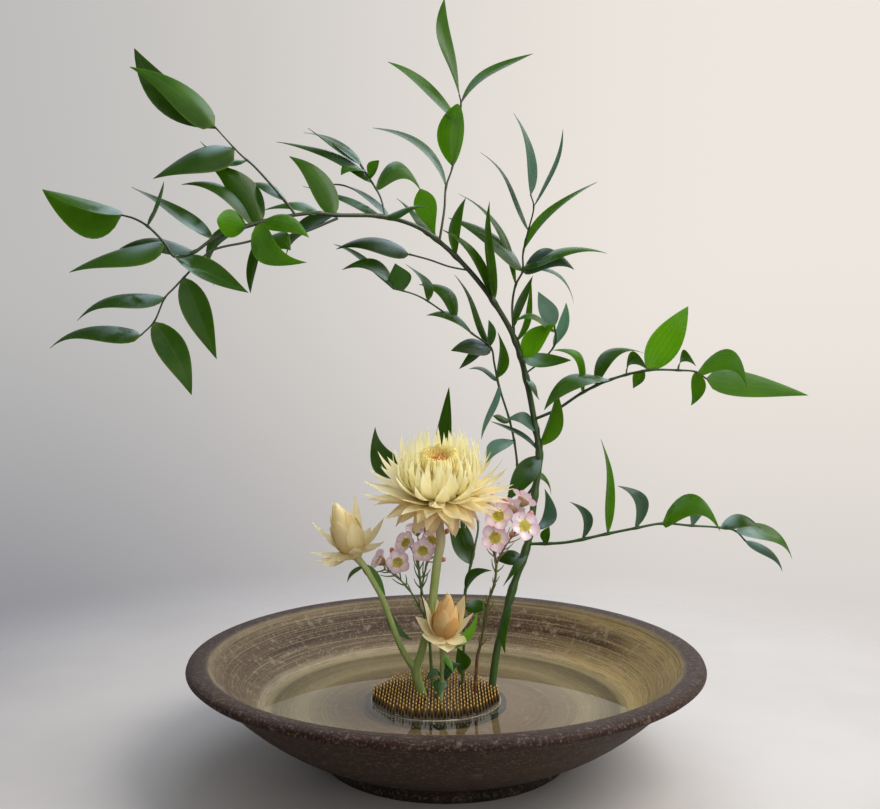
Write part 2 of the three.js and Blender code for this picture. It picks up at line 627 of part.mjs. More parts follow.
// The stalk runs from the sprig to just behind the flower's cup.
function stalk(branches, [x, y, z, turn, tilt, branch, place]) {
  const axis = new Vector3(0, 0, 1).applyAxisAngle(new Vector3(0, 1, 0), radians(tilt));
  axis.applyAxisAngle(new Vector3(0, 0, 1), radians(turn));
  const behind = new Vector3(x, y, z).addScaledVector(axis, -CUP_RADIUS - GAP);
  const start = spotOn(branches[branch], place);
  const bend = start.clone().lerp(behind, 0.6).addScaledVector(axis, -1.5);
  return stem([start, bend, behind].map((point) => point.toArray()), 0.45, 5);
}

function waxflowers() {
  for (const [side, { branches, flowers }] of Object.entries(SPRIGS)) {
    const solids = flowers.map(waxFlower);
    const wood = branches.map((points, i) => stem(points, i === 0 ? 0.9 : 0.6, 5));
    const stalks = flowers.map((flower) => stalk(branches, flower));
    add(`waxflower_${side}_sprig`, join([...wood, ...stalks]), WAX_STEM);
    solids.forEach((solid, i) => add(`waxflower_${side}_${i + 1}`, solid, WAX_PETAL));
  }
}

// ---- Assembly -------------------------------------------------------------------------------
bowl();
water();
pinHolder([
  [28, 13, 1.9], [10, 14, 0.9], [-14, -1, 2.4], [-4, -12, 1.9], [-8, 6, 0.9], [17, -1, 0.9],
]);
ruscus();
strawflowers();
waxflowers();

export default part;
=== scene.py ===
import math
import random

import bpy
import numpy as np
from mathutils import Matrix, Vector

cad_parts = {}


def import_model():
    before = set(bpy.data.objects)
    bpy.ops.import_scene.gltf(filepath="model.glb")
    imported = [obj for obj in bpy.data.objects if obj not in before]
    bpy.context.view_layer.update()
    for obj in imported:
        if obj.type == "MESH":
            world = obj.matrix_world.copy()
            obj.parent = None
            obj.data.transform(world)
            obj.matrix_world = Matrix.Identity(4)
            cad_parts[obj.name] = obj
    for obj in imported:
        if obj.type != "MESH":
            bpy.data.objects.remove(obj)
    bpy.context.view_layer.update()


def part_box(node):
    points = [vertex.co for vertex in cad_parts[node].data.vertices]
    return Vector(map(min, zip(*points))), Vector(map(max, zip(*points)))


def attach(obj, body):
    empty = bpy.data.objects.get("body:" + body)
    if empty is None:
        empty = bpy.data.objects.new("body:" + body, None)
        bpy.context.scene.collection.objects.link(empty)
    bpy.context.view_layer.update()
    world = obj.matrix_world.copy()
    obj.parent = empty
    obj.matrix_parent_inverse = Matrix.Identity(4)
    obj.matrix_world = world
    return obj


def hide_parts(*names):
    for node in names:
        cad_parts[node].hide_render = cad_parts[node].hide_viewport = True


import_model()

MM = 0.001


def corners_in_mm(node):
    """A CAD node's lowest and highest corners, in millimetres."""
    return [np.array(corner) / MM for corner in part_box(node)]


# ---- Sizes worked out from the frame ----
lead_low, lead_high = corners_in_mm("kenzan_base")
ring_low, ring_high = corners_in_mm("kenzan_rubber_ring")
pins_low, pins_high = corners_in_mm("kenzan_needles")

WATER_TOP = corners_in_mm("water")[1][2]
KENZAN_CENTRE = ((lead_low + lead_high) / 2)[:2]
KENZAN_RADIUS = (lead_high[0] - lead_low[0]) / 2
RING_RADIUS = (ring_high[0] - ring_low[0]) / 2
PLATE_RADIUS = (pins_high[0] - pins_low[0]) / 2
PLATE_THICKNESS = 0.6  # the plate the pins stand on
PIN_PITCH = 3.7
PIN_RADIUS = 0.6
LEAF_THICKNESS = 0.36
BRACT_THICKNESS = 0.3
PETAL_THICKNESS = 0.32
GOLDEN_ANGLE = math.pi * (3 - math.sqrt(5))


# ---- Vectors and curves ----
def vec(*numbers):
    return np.array(numbers, dtype=float)


def unit(v):
    return v / max(np.linalg.norm(v), 1e-9)


def turned_about(v, axis, angle):
    """v turned by an angle in radians about a unit axis."""
    cosine, sine = math.cos(angle), math.sin(angle)
    return v * cosine + np.cross(axis, v) * sine + axis * np.dot(axis, v) * (1 - cosine)


def ray_at(turn, side=vec(1, 0, 0), other=vec(0, 1, 0)):
    """The unit vector at an angle from side towards other."""
    return math.cos(turn) * side + math.sin(turn) * other


def spot_on(points, place):
    """A point on the smooth route through the points: place 2.5 is between points 2 and 3."""
    points = np.asarray(points, dtype=float)
    i = min(int(place), len(points) - 2)
    share = place - i
    p1, p2 = points[i], points[i + 1]
    p0 = points[i - 1] if i > 0 else 2 * p1 - p2
    p3 = points[i + 2] if i + 2 < len(points) else 2 * p2 - p1
    d0, d1, d2 = (math.sqrt(max(np.linalg.norm(b - a), 1e-4)) for a, b in ((p0, p1), (p1, p2), (p2, p3)))
    start = d1 * ((p1 - p0) / d0 - (p2 - p0) / (d0 + d1) + (p2 - p1) / d1)
    end = d1 * ((p2 - p1) / d1 - (p3 - p1) / (d1 + d2) + (p3 - p2) / d2)
    square, cube = share**2, share**3
    return (
        p1 * (2 * cube - 3 * square + 1)
        + start * (cube - 2 * square + share)
        + p2 * (3 * square - 2 * cube)
        + end * (cube - square)
    )


# ---- Meshes ----
class Shape:
    """Collects closed lofts in millimetres and makes one object of them.

    Every vertex carries four numbers that the materials read: across (-1 to 1 over a blade),
    along (0 at the base to 1 at the tip), tone (how light that loft is) and under (1 below a blade).
    A lean in degrees tips what is lofted forwards about pivot.
    """

    def __init__(self, pivot=(0, 0, 0), lean=0):
        self.lean_about(pivot, lean)
        self.points = []
        self.faces = []
        self.finishes = []
        self.numbers = []
        self.count = 0

    def lean_about(self, pivot, lean):
        self.pivot = np.asarray(pivot, dtype=float)
        cosine, sine = math.cos(math.radians(lean)), math.sin(math.radians(lean))
        self.turn = np.array([[1, 0, 0], [0, cosine, -sine], [0, sine, cosine]])

    def leaned(self, points):
        return (np.asarray(points, dtype=float).reshape(-1, 3) - self.pivot) @ self.turn.T + self.pivot

    def loft(
        self, rings, finish=0, tone=0.5, across=None, along=None, under=None, ends=(None, None), loop=False
    ):
        """A closed skin over rings of points, with a point at each end, or joined up as a loop."""
        rings = np.asarray(rings, dtype=float)
        rows, columns = rings.shape[:2]
        across = np.zeros(columns) if across is None else across
        under = np.zeros(columns) if under is None else under
        along = np.linspace(0, 1, rows) if along is None else along
        first = self.count
        grid = first + np.arange(rows * columns).reshape(rows, columns)
        self.points.append(self.leaned(rings))
        tones = np.full(rows * columns, tone)
        marks = [np.tile(across, rows), np.repeat(along, columns), tones, np.tile(under, rows)]
        self.numbers.append(np.column_stack(marks))
        self.count += rows * columns
        following = np.roll(grid, -1, axis=1)
        pairs = [(r, r + 1) for r in range(rows - 1)] + [(rows - 1, 0)] * loop
        faces = [
            (grid[a, c], following[a, c], following[b, c], grid[b, c])
            for a, b in pairs for c in range(columns)
        ]
        for row, end in () if loop else ((0, ends[0]), (rows - 1, ends[1])):
            self.points.append(self.leaned(rings[row].mean(axis=0) if end is None else end))
            self.numbers.append(np.array([[0.0, along[row], tone, 0.5]]))
            rim = zip(grid[row], following[row]) if row == 0 else zip(following[row], grid[row])
            faces += [(b, a, self.count) for a, b in rim]
            self.count += 1
        if self.volume_of(faces, first) < 0:
            faces = [face[::-1] for face in faces]
        self.faces += faces
        self.finishes += [finish] * len(faces)

    def volume_of(self, faces, first):
        """Six times the volume that faces enclose, whose points were added from number first on."""
        added, seen = [], self.count
        for chunk in reversed(self.points):
            if seen <= first:
                break
            added.append(chunk)
            seen -= len(chunk)
        points = np.concatenate(added[::-1])
        points = points - points.mean(axis=0)
        fans = [(face[0], face[i], face[i + 1]) for face in faces for i in range(1, len(face) - 1)]
        corners = points[np.array(fans) - first]
        return float(np.einsum("ij,ij->", np.cross(corners[:, 0], corners[:, 1]), corners[:, 2]))

    def make(self, name, materials, node, sharp=50):
        """One object that takes the place of a CAD node, with edges over sharp degrees kept crisp."""
        mesh = bpy.data.meshes.new(name)
        mesh.from_pydata(np.concatenate(self.points) * MM, [], [list(map(int, face)) for face in self.faces])
        for material in materials:
            mesh.materials.append(material)
        mesh.polygons.foreach_set("material_index", self.finishes)
        mesh.polygons.foreach_set("use_smooth", [True] * len(self.faces))
        numbers = np.concatenate(self.numbers)
        for column, label in enumerate(("across", "along", "tone", "under")):
            attribute = mesh.attributes.new(label, "FLOAT", "POINT")
            attribute.data.foreach_set("value", numbers[:, column].astype(np.float32))
        mesh.set_sharp_from_angle(angle=math.radians(sharp))
        piece = bpy.data.objects.new(name, mesh)
        bpy.context.scene.collection.objects.link(piece)
        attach(piece, "root")
        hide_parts(node)


def ring_about(middle, side, other, radius, sides):
    turns = np.linspace(0, 2 * math.pi, sides, endpoint=False)[:, None]
    return middle + radius * (np.cos(turns) * side + np.sin(turns) * other)


def level_ring(centre, radius, height, sides):
    turns = np.linspace(0, 2 * math.pi, sides, endpoint=False)
    x = centre[0] + radius * np.cos(turns)
    y = centre[1] + radius * np.sin(turns)
    return np.column_stack([x, y, np.full(sides, height)])


def turned_rings(profile, sides, centre):
    """Level rings through a profile of (radius, height)."""
    return [level_ring(centre, radius, height, sides) for radius, height in profile]


def tube_rings(points, radius_at, sides=8, spacing=2.5):
    """Round rings along the smooth route through the points. radius_at(place) gives the radius."""
    span = sum(np.linalg.norm(np.subtract(b, a)) for a, b in zip(points, points[1:]))
    steps = max(4, round(span / spacing))
    places = np.linspace(0, len(points) - 1, steps + 1)
    spots = np.array([spot_on(points, place) for place in places])
    side = unit(np.cross(spots[1] - spots[0], vec(0.3, 1, 0.1)))
    rings = []
    for i, spot in enumerate(spots):
        ahead = unit(spots[min(i + 1, steps)] - spots[max(i - 1, 0)])
        side = unit(side - ahead * np.dot(side, ahead))
        rings.append(ring_about(spot, side, np.cross(ahead, side), radius_at(places[i]), sides))
    return rings


def out_and_back(columns):
    """Places from -1 to 1 over the top of a sheet and back under it, with 1 above and -1 below."""
    s = np.linspace(-1, 1, columns + 1)
    return np.concatenate([s, s[-2:0:-1]]), np.concatenate([np.ones(columns + 1), -np.ones(columns - 1)])


def add_sheet(shape, section, rows, last, thickness, cup, finish, tone, ends):
    """A thin closed sheet: section(t) gives (centre, side, normal, half width) for t from 0 to last.

    cup(row share) is how far the edges rise, as a share of the half width.
    """
    around, upper = out_and_back(6)
    swell = 0.5 * thickness * upper * (1 - around**4)
    rings = []
    for i, t in enumerate(np.linspace(0, last, rows)):
        centre, side, normal, half = section(t)
        rise = half * cup(i / (rows - 1)) * np.abs(around) ** 1.5
        offset = (rise + swell * min(1, half / thickness))[:, None] * normal
        rings.append(centre + (half * around)[:, None] * side + offset)
    shape.loft(rings, finish, tone, around, under=(upper < 0).astype(float), ends=ends)


# ---- Node trees ----
def colour(text):
    """A linear colour from a hex one."""
    channels = [int(text[i : i + 2], 16) / 255 for i in (0, 2, 4)]
    linear = [c / 12.92 if c <= 0.04045 else ((c + 0.055) / 1.055) ** 2.4 for c in channels]
    return (*linear, 1.0)


class Nodes:
    """A node tree whose nodes are added one call each. Colours are sockets or hex texts."""

    def __init__(self, tree):
        self.tree = tree
        tree.nodes.clear()

    def node(self, kind, inputs=None, **settings):
        made = self.tree.nodes.new("ShaderNode" + kind)
        for key, value in settings.items():
            setattr(made, key, value)
        for key, value in (inputs or {}).items():
            if isinstance(value, bpy.types.NodeSocket):
                self.tree.links.new(value, made.inputs[key])
            else:
                made.inputs[key].default_value = colour(value) if isinstance(value, str) else value
        return made

    def part(self, vector, index):
        """One of a vector's three numbers."""
        return self.node("SeparateXYZ", {0: vector}).outputs[index]

    def vector(self, operation, *inputs):
        return self.node("VectorMath", dict(enumerate(inputs)), operation=operation).outputs[0]

    def math(self, operation, a, b=0.0):
        return self.node("Math", {0: a, 1: b}, operation=operation).outputs[0]

    def times(self, a, b):
        return self.math("MULTIPLY", a, b)

    def stretch(self, value, low, high, out_low=0.0, out_high=1.0):
        """Carries low to high smoothly over to out_low to out_high, and stays level beyond."""
        inputs = {0: value, 1: low, 2: high, 3: out_low, 4: out_high}
        return self.node("MapRange", inputs, interpolation_type="SMOOTHSTEP").outputs[0]

    def mix(self, share, a, b):
        return self.node("Mix", {0: share, 6: a, 7: b}, data_type="RGBA").outputs[2]

    def over(self, base, tint, value, low, high, share=1.0, mask=None):
        """Lays up to a share of a tint over base as a value goes from low to high."""
        amount = self.stretch(value, low, high, 0.0, share)
        return self.mix(amount if mask is None else self.times(amount, mask), base, tint)

    def blend(self, share, a, b):
        return self.node("MixShader", {0: share, 1: a, 2: b}).outputs[0]


class Finish(Nodes):
    """A material."""

    def __init__(self, name):
        self.material = bpy.data.materials.new(name)
        self.material.use_nodes = True
        super().__init__(self.material.node_tree)

    def place(self):
        return self.node("TexCoord").outputs["Object"]

    def number(self, label):
        return self.node("Attribute", attribute_name=label).outputs["Fac"]

    def lines(self, waves, low, high):
        """Lengthways lines over a blade, with waves in radians over half its width."""
        return self.stretch(self.math("SINE", self.times(self.number("across"), waves)), low, high)

    def noise(self, vector, scale, detail=3.0, roughness=0.55):
        inputs = {"Vector": vector, "Scale": scale, "Detail": detail, "Roughness": roughness}
        return self.node("TexNoise", inputs).outputs["Fac"]

    def ramp(self, share, stops):
        """Stops are (position, hex colour or grey level)."""
        made = self.node("ValToRGB", {0: share})
        elements = made.color_ramp.elements
        while len(elements) < len(stops):
            elements.new(0.5)
        for element, (position, shade) in zip(elements, stops):
            element.position = position
            element.color = colour(shade) if isinstance(shade, str) else (shade, shade, shade, 1)
        return made.outputs[0]

    def skin(self, base, roughness, bump=None, others=None):
        """An opaque surface. bump is (height, strength, distance in millimetres)."""
        inputs = {"Base Color": base, "Roughness": roughness, **(others or {})}
        if bump:
            height, strength, distance = bump
            relief = {"Height": height, "Strength": strength, "Distance": distance * MM}
            inputs["Normal"] = self.node("Bump", relief).outputs[0]
        return self.node("BsdfPrincipled", inputs).outputs[0]

    def output(self, shader):
        self.node("OutputMaterial", {"Surface": shader}).is_active_output = True
        return self.material

    def solid(self, *skin):
        return self.output(self.skin(*skin))

    def thin(self, front, through, share):
        """A thin leaf or petal: front is what it shows, and it glows with the colour through.

        Its closed shell has two layers, and the inner side of each only passes the light on.
        """
        outside = self.blend(share, front, self.node("BsdfTranslucent", {"Color": through}).outputs[0])
        inside = self.node("BsdfTranslucent", {"Color": "ffffff"}).outputs[0]
        return self.output(self.blend(self.node("NewGeometry").outputs["Backfacing"], outside, inside))


def speckled(name, body, scale, detail, specks, roughness, relief=None):
    """body(f) gives the main colour. specks are (colour, noise level where they begin, share)."""
    f = Finish(name)
    cloud = f.noise(f.place(), scale, detail)
    tint, low, share = specks
    shade = f.over(body(f), tint, cloud, low, 0.7, share)
    return f.solid(shade, roughness, (cloud, *relief) if relief else None)


# ---- Bowl ----
FOOT = [(0, 8), (40, 8), (61, 8), (62.5, 7), (64, 1.5), (65.5, 0), (69, 0), (73, 0.2)]
OUTSIDE = [
    (74.5, 2), (74.8, 5.5), (77, 8.4), (90, 14.2), (103, 21.5), (115, 30), (126, 39.4), (135, 48),
    (142, 54.6),
]
LIP = [
    (144.5, 55.6), (147, 56), (149.6, 57.2), (151, 59), (150, 61), (147, 62), (143, 62), (140, 61.6),
    (138, 60.6),
]
INSIDE = [
    (136, 58), (132, 53.6), (128, 50), (118, 41), (107, 32.2), (97, 25.2), (85, 21), (77, 20), (60, 20),
]
FLOOR = [(40, 20), (20, 20), (0, 20)]
BOWL_PROFILE = FOOT + OUTSIDE + LIP + INSIDE + FLOOR
PROFILE_STEPS = 4
BOWL_SIDES = 200
SHORE = INSIDE[4]  # the point nearest to where the water meets the wall
FLOOR_END = (84, 20.5)  # the radius and height inside which the bowl's inside is its floor
RIDGE = 0.16  # height of the throwing ridges
WALL_RIDGES = 868  # radians of ridges over the whole profile
FLOOR_RIDGES = 1.7  # radians of ridges for each millimetre of radius

# The colour at points of each zone of the profile, and how much of it is brown: the glaze, with
# painted shade near the foot outside.
GLAZE_AND_SHADE = {
    # Outside, darker towards the foot: partly unglazed clay and partly painted shade.
    "outside": {1: "1a1613", 2: "241e1a", 5: "392a20", 8: "34251c"},
    "lip": {1: "26150f", 4: "271611", 7: "2c1c15", 8: "796b52"},
    "inside": {
        0: "6d604b", 2: "5f503d", 3.5: "695b47", 3.75: "8e816a", 4.25: "908468", 4.5: "64583f",
        5: "6f6349", 6: "8a7c62", 7: "72634b", 8: "5d4a37",
    },
    "floor": {0: "6a5541", 2: "776149"},
}
BROWN = {"lip": {8: 0}, "inside": {0.5: 0.25, 1.25: 0.85, 2.5: 1, 3: 0.6, 3.75: 0}}

profile_places = np.linspace(0, len(BOWL_PROFILE) - 1, (len(BOWL_PROFILE) - 1) * PROFILE_STEPS + 1)
fine_profile = np.array([spot_on(BOWL_PROFILE, place) for place in profile_places])
step_lengths = np.linalg.norm(np.diff(fine_profile, axis=0), axis=1)
profile_shares = np.concatenate([[0], np.cumsum(step_lengths)]) / step_lengths.sum()


def share_at(zone, index):
    """How far along the profile, from 0 to 1, a point of one of its zones lies."""
    start = {"outside": len(FOOT), "lip": len(FOOT + OUTSIDE)}
    start["inside"] = start["lip"] + len(LIP)
    start["floor"] = start["inside"] + len(INSIDE)
    return float(profile_shares[round((start[zone] + index) * PROFILE_STEPS)])


def zone_stops(zones):
    return [(share_at(zone, i), shade) for zone, shades in zones.items() for i, shade in shades.items()]


def stoneware():
    f = Finish("stoneware_glaze")
    along = f.number("along")
    place = f.place()
    outward = f.vector("NORMALIZE", f.vector("MULTIPLY", place, (1, 1, 0)))
    rightward, backward = f.part(outward, 0), f.part(outward, 1)

    def brushed(turns, rows, detail, roughness):
        """Noise drawn out along the turning direction."""
        spot = {0: f.times(rightward, turns), 1: f.times(backward, turns), 2: f.times(along, rows)}
        return f.noise(f.node("CombineXYZ", spot).outputs[0], 1.0, detail, roughness)

    wide_bands = brushed(1.3, 62, 3, 0.6)
    bands = brushed(3.2, 210, 3, 0.65)
    rings = brushed(0.8, 330, 3, 0.7)
    strokes = brushed(7.0, 520, 4, 0.7)
    flecks = f.noise(place, 720, 2, 0.6)
    spots = f.noise(place, 240, 2, 0.55)
    smudges = f.noise(place, 160, 4, 0.65)
    patches = f.noise(place, 48, 4, 0.6)

    wall = f.ramp(along, zone_stops(GLAZE_AND_SHADE))
    waterline = share_at("inside", 3.75)
    above_water = f.stretch(along, share_at("inside", 4.5), waterline)
    dry = f.stretch(along, share_at("inside", 4.25), waterline, 0.45, 1.0)
    broken = f.times(f.stretch(smudges, 0.38, 0.56, 0.3, 1.0), dry)
    sides = f.stretch(f.math("ABSOLUTE", rightward), 0.85, 1.0, 1.0, 0.4)
    uneven = f.times(f.stretch(wide_bands, 0.3, 0.62, 0.7, 1.0), sides)
    brown = f.times(f.ramp(along, zone_stops(BROWN)), uneven)
    # The inner wall above the water is lighter towards the right: partly a paler olive glaze and partly
    # painted light.
    inner = f.over(wall, "bfa569", rightward, 0.4, 1.0, 0.72, above_water)
    inner = f.mix(brown, inner, f.over("3d2e25", "3c2410", rightward, -0.3, 0.7))
    inner = f.over(inner, "35251b", rings, 0.49, 0.36, 0.5, broken)
    inner = f.over(inner, "b5a684", rings, 0.53, 0.68, 0.33, dry)
    inner = f.over(inner, "35261d", strokes, 0.5, 0.36, 0.5, dry)
    inner = f.over(inner, "ab9d84", smudges, 0.52, 0.7, 0.3, dry)
    inner = f.over(inner, "b3a48c", flecks, 0.56, 0.72, 0.35, dry)
    outer = f.over(wall, "43352c", patches, 0.4, 0.7, 0.4)
    outer = f.over(outer, "776a5c", flecks, 0.5, 0.72, 0.4)
    outer = f.over(outer, "8a7a6b", spots, 0.58, 0.72, 0.22)
    outer = f.over(outer, "1d1714", bands, 0.5, 0.7, 0.3)
    base = f.over(outer, inner, along, share_at("lip", 7), share_at("inside", 0))
    roughness = f.math("ADD", f.stretch(patches, 0.3, 0.7, 0.4, 0.52), f.times(strokes, 0.12))
    height = f.math("ADD", f.times(f.times(strokes, 0.7), dry), f.times(flecks, 0.6))
    return f.solid(base, roughness, (height, 0.45, 0.5), {"Specular IOR Level": 0.1})


def bowl():
    """Thrown on a wheel, with the potter's ridges and a rim that is a little out of round."""
    turns = np.linspace(0, 2 * math.pi, BOWL_SIDES, endpoint=False)
    out_of_round = 0.25 * np.sin(2 * turns + 0.6)
    rings = []
    for (radius, height), share in list(zip(fine_profile, profile_shares))[1:-1]:
        if radius >= 1:
            uneven = 0.5 + 0.5 * np.sin(turns * 2 + share * 28)
            ridge = RIDGE * math.sin(share * WALL_RIDGES) * (0.55 + 0.45 * uneven)
            radius_here = radius + ridge + out_of_round
        else:
            radius_here = radius
        on_floor = radius < FLOOR_END[0] and height <= FLOOR_END[1] and share > 0.5
        lift = RIDGE * math.sin(radius * FLOOR_RIDGES) if on_floor else 0
        rings.append(level_ring((0, 0), radius_here, height + lift, BOWL_SIDES))
    shape = Shape()
    shape.loft(rings, along=profile_shares[1:-1], ends=((0, 0, FOOT[0][1]), (0, 0, FLOOR[-1][1])))
    shape.make("stoneware_bowl", [stoneware()], "bowl", sharp=80)


# ---- Water and pin holder ----
def clear_water():
    """Clear to the eye, and the lamps' light passes through it to the bowl's floor."""
    f = Finish("clear_water")
    glass = f.skin("f0f0e0", 0.0, None, {"IOR": 1.333, "Transmission Weight": 1.0})
    lamp_light = f.node("BsdfTransparent", {"Color": "eef0e6"}).outputs[0]
    path = f.node("LightPath").outputs
    passing = f.math("MAXIMUM", path["Is Shadow Ray"], path["Is Diffuse Ray"])
    return f.output(f.blend(passing, glass, lamp_light))


def water():
    """Its bed and rim lie a little inside the bowl's wall, so that no air shows between them."""
    sunk = 0.6
    inner = KENZAN_RADIUS - 0.4
    edge = SHORE[0] + sunk
    bed = sorted((r + sunk, z - sunk) for r, z in INSIDE if z < WATER_TOP and r > inner)
    profile = [(inner, bed[0][1]), *bed]
    profile += [(radius, WATER_TOP) for radius in (edge, edge - 3, 80, 60, inner)]
    rings = []
    for radius, height in profile:
        # Beyond 70 a ring is about the bowl's middle, and within 50 about the pin holder's.
        share = max(0, min(1, (70 - radius) / 20))
        rings.append(level_ring(KENZAN_CENTRE * share, radius, height, 160))
    shape = Shape()
    shape.loft(rings, loop=True)
    shape.make("still_water", [clear_water()], "water", sharp=30)


def dull_lead():
    """Cast lead with blotches of tarnish and fine scratches."""
    f = Finish("dull_lead")
    tarnish = f.noise(f.place(), 160, 4, 0.65)
    grain = f.noise(f.place(), 1440, 2, 0.5)
    shade = f.over("c9c5bb", "8f8b83", tarnish, 0.35, 0.7)
    roughness = f.stretch(tarnish, 0.3, 0.75, 0.42, 0.64)
    return f.solid(shade, roughness, (grain, 0.2, 0.05), {"Metallic": 0.85})


def old_brass():
    """Painted shade at the foot of each pin, where the pins shade each other, and a painted highlight at its
    point.
    """
    f = Finish("old_brass")
    along = f.number("along")
    tarnish = f.noise(f.place(), 420, 3, 0.6)
    shade = f.over("b88f44", "8a6829", tarnish, 0.35, 0.7)
    # Painted shade: dark towards the foot of each pin.
    shade = f.over(shade, "3a2a10", along, 0.7, 0.15)
    # Painted highlight: bright gold towards the point.
    shade = f.over(shade, "e8c680", along, 0.6, 0.95, 0.7)
    roughness = f.stretch(tarnish, 0.3, 0.75, 0.3, 0.5)
    return f.solid(shade, roughness, (tarnish, 0.2, 0.05), {"Metallic": 0.55})


def grey_rubber():
    f = Finish("grey_rubber")
    grain = f.noise(f.place(), 1200, 3, 0.6)
    return f.solid(f.over("0d0e10", "16171a", grain, 0.3, 0.7), 0.75, (grain, 0.4, 0.1))


# Where the cut stems stand on the pin holder: x, y and radius.
STEM_ENDS = [(28, 13, 1.9), (10, 14, 0.9), (-14, -1, 2.4), (-4, -12, 1.9), (-8, 6, 0.9), (17, -1, 0.9)]


def turned_piece(name, material, node, profile, loop=False):
    shape = Shape()
    shape.loft(turned_rings(profile, 96, KENZAN_CENTRE), loop=loop)
    shape.make(name, [material], node, sharp=35)


def pin_holder():
    low, high = lead_low[2], lead_high[2]
    turned_piece("kenzan_lead_base", dull_lead(), "kenzan_base", [
        (KENZAN_RADIUS - 1.2, low), (KENZAN_RADIUS, low + 1.2), (KENZAN_RADIUS, high - 0.9),
        (KENZAN_RADIUS - 0.35, high - 0.15), (KENZAN_RADIUS - 1.2, high), (KENZAN_RADIUS - 4, high),
    ])
    low, high = ring_low[2], ring_high[2]
    inner = KENZAN_RADIUS + 0.2
    turned_piece("kenzan_rubber_band", grey_rubber(), "kenzan_rubber_ring", [
        (inner, low), (RING_RADIUS - 0.8, low), (RING_RADIUS, low + 0.8),
        (RING_RADIUS, high - 0.8), (RING_RADIUS - 0.8, high), (inner + 0.4, high), (inner, high - 0.4),
    ], loop=True)

    low, high = pins_low[2], pins_high[2]
    plate_top = low + PLATE_THICKNESS
    plate = [
        (PLATE_RADIUS - 0.2, low), (PLATE_RADIUS, low + 0.2), (PLATE_RADIUS, plate_top - 0.15),
        (PLATE_RADIUS - 0.25, plate_top), (PLATE_RADIUS - 3, plate_top),
    ]
    pins = Shape()
    pins.loft(turned_rings(plate, 96, KENZAN_CENTRE), along=[0] * len(plate))
    # Each pin's rings: share of its lean, height and radius.
    pin = [
        (0, plate_top - 0.2, PIN_RADIUS), (0.7, plate_top + 0.7 * (high - plate_top), 0.95 * PIN_RADIUS),
        (0.95, high - 0.5, 0.4),
    ]
    rng = random.Random("pins")
    row_step = PIN_PITCH * math.sqrt(0.75)
    rows = math.ceil(PLATE_RADIUS / row_step)
    for row in range(-rows, rows + 1):
        for column in range(-rows - 1, rows + 2):
            x = (column + 0.5 * (row % 2)) * PIN_PITCH
            y = row * row_step
            at = KENZAN_CENTRE + vec(x, y)
            crowded = any(math.hypot(*(at - end[:2])) < end[2] + 0.9 for end in STEM_ENDS)
            if math.hypot(x, y) > PLATE_RADIUS - 1.0 or crowded:
                continue
            lean = vec(rng.gauss(0, 0.12), rng.gauss(0, 0.12))
            rings = [level_ring(at + lean * share, radius, height, 6) for share, height, radius in pin]
            pins.loft(rings, tone=rng.uniform(0, 1), ends=(None, (*(at + lean), high)))
    pins.make("kenzan_brass_pins", [old_brass()], "kenzan_needles", sharp=40)
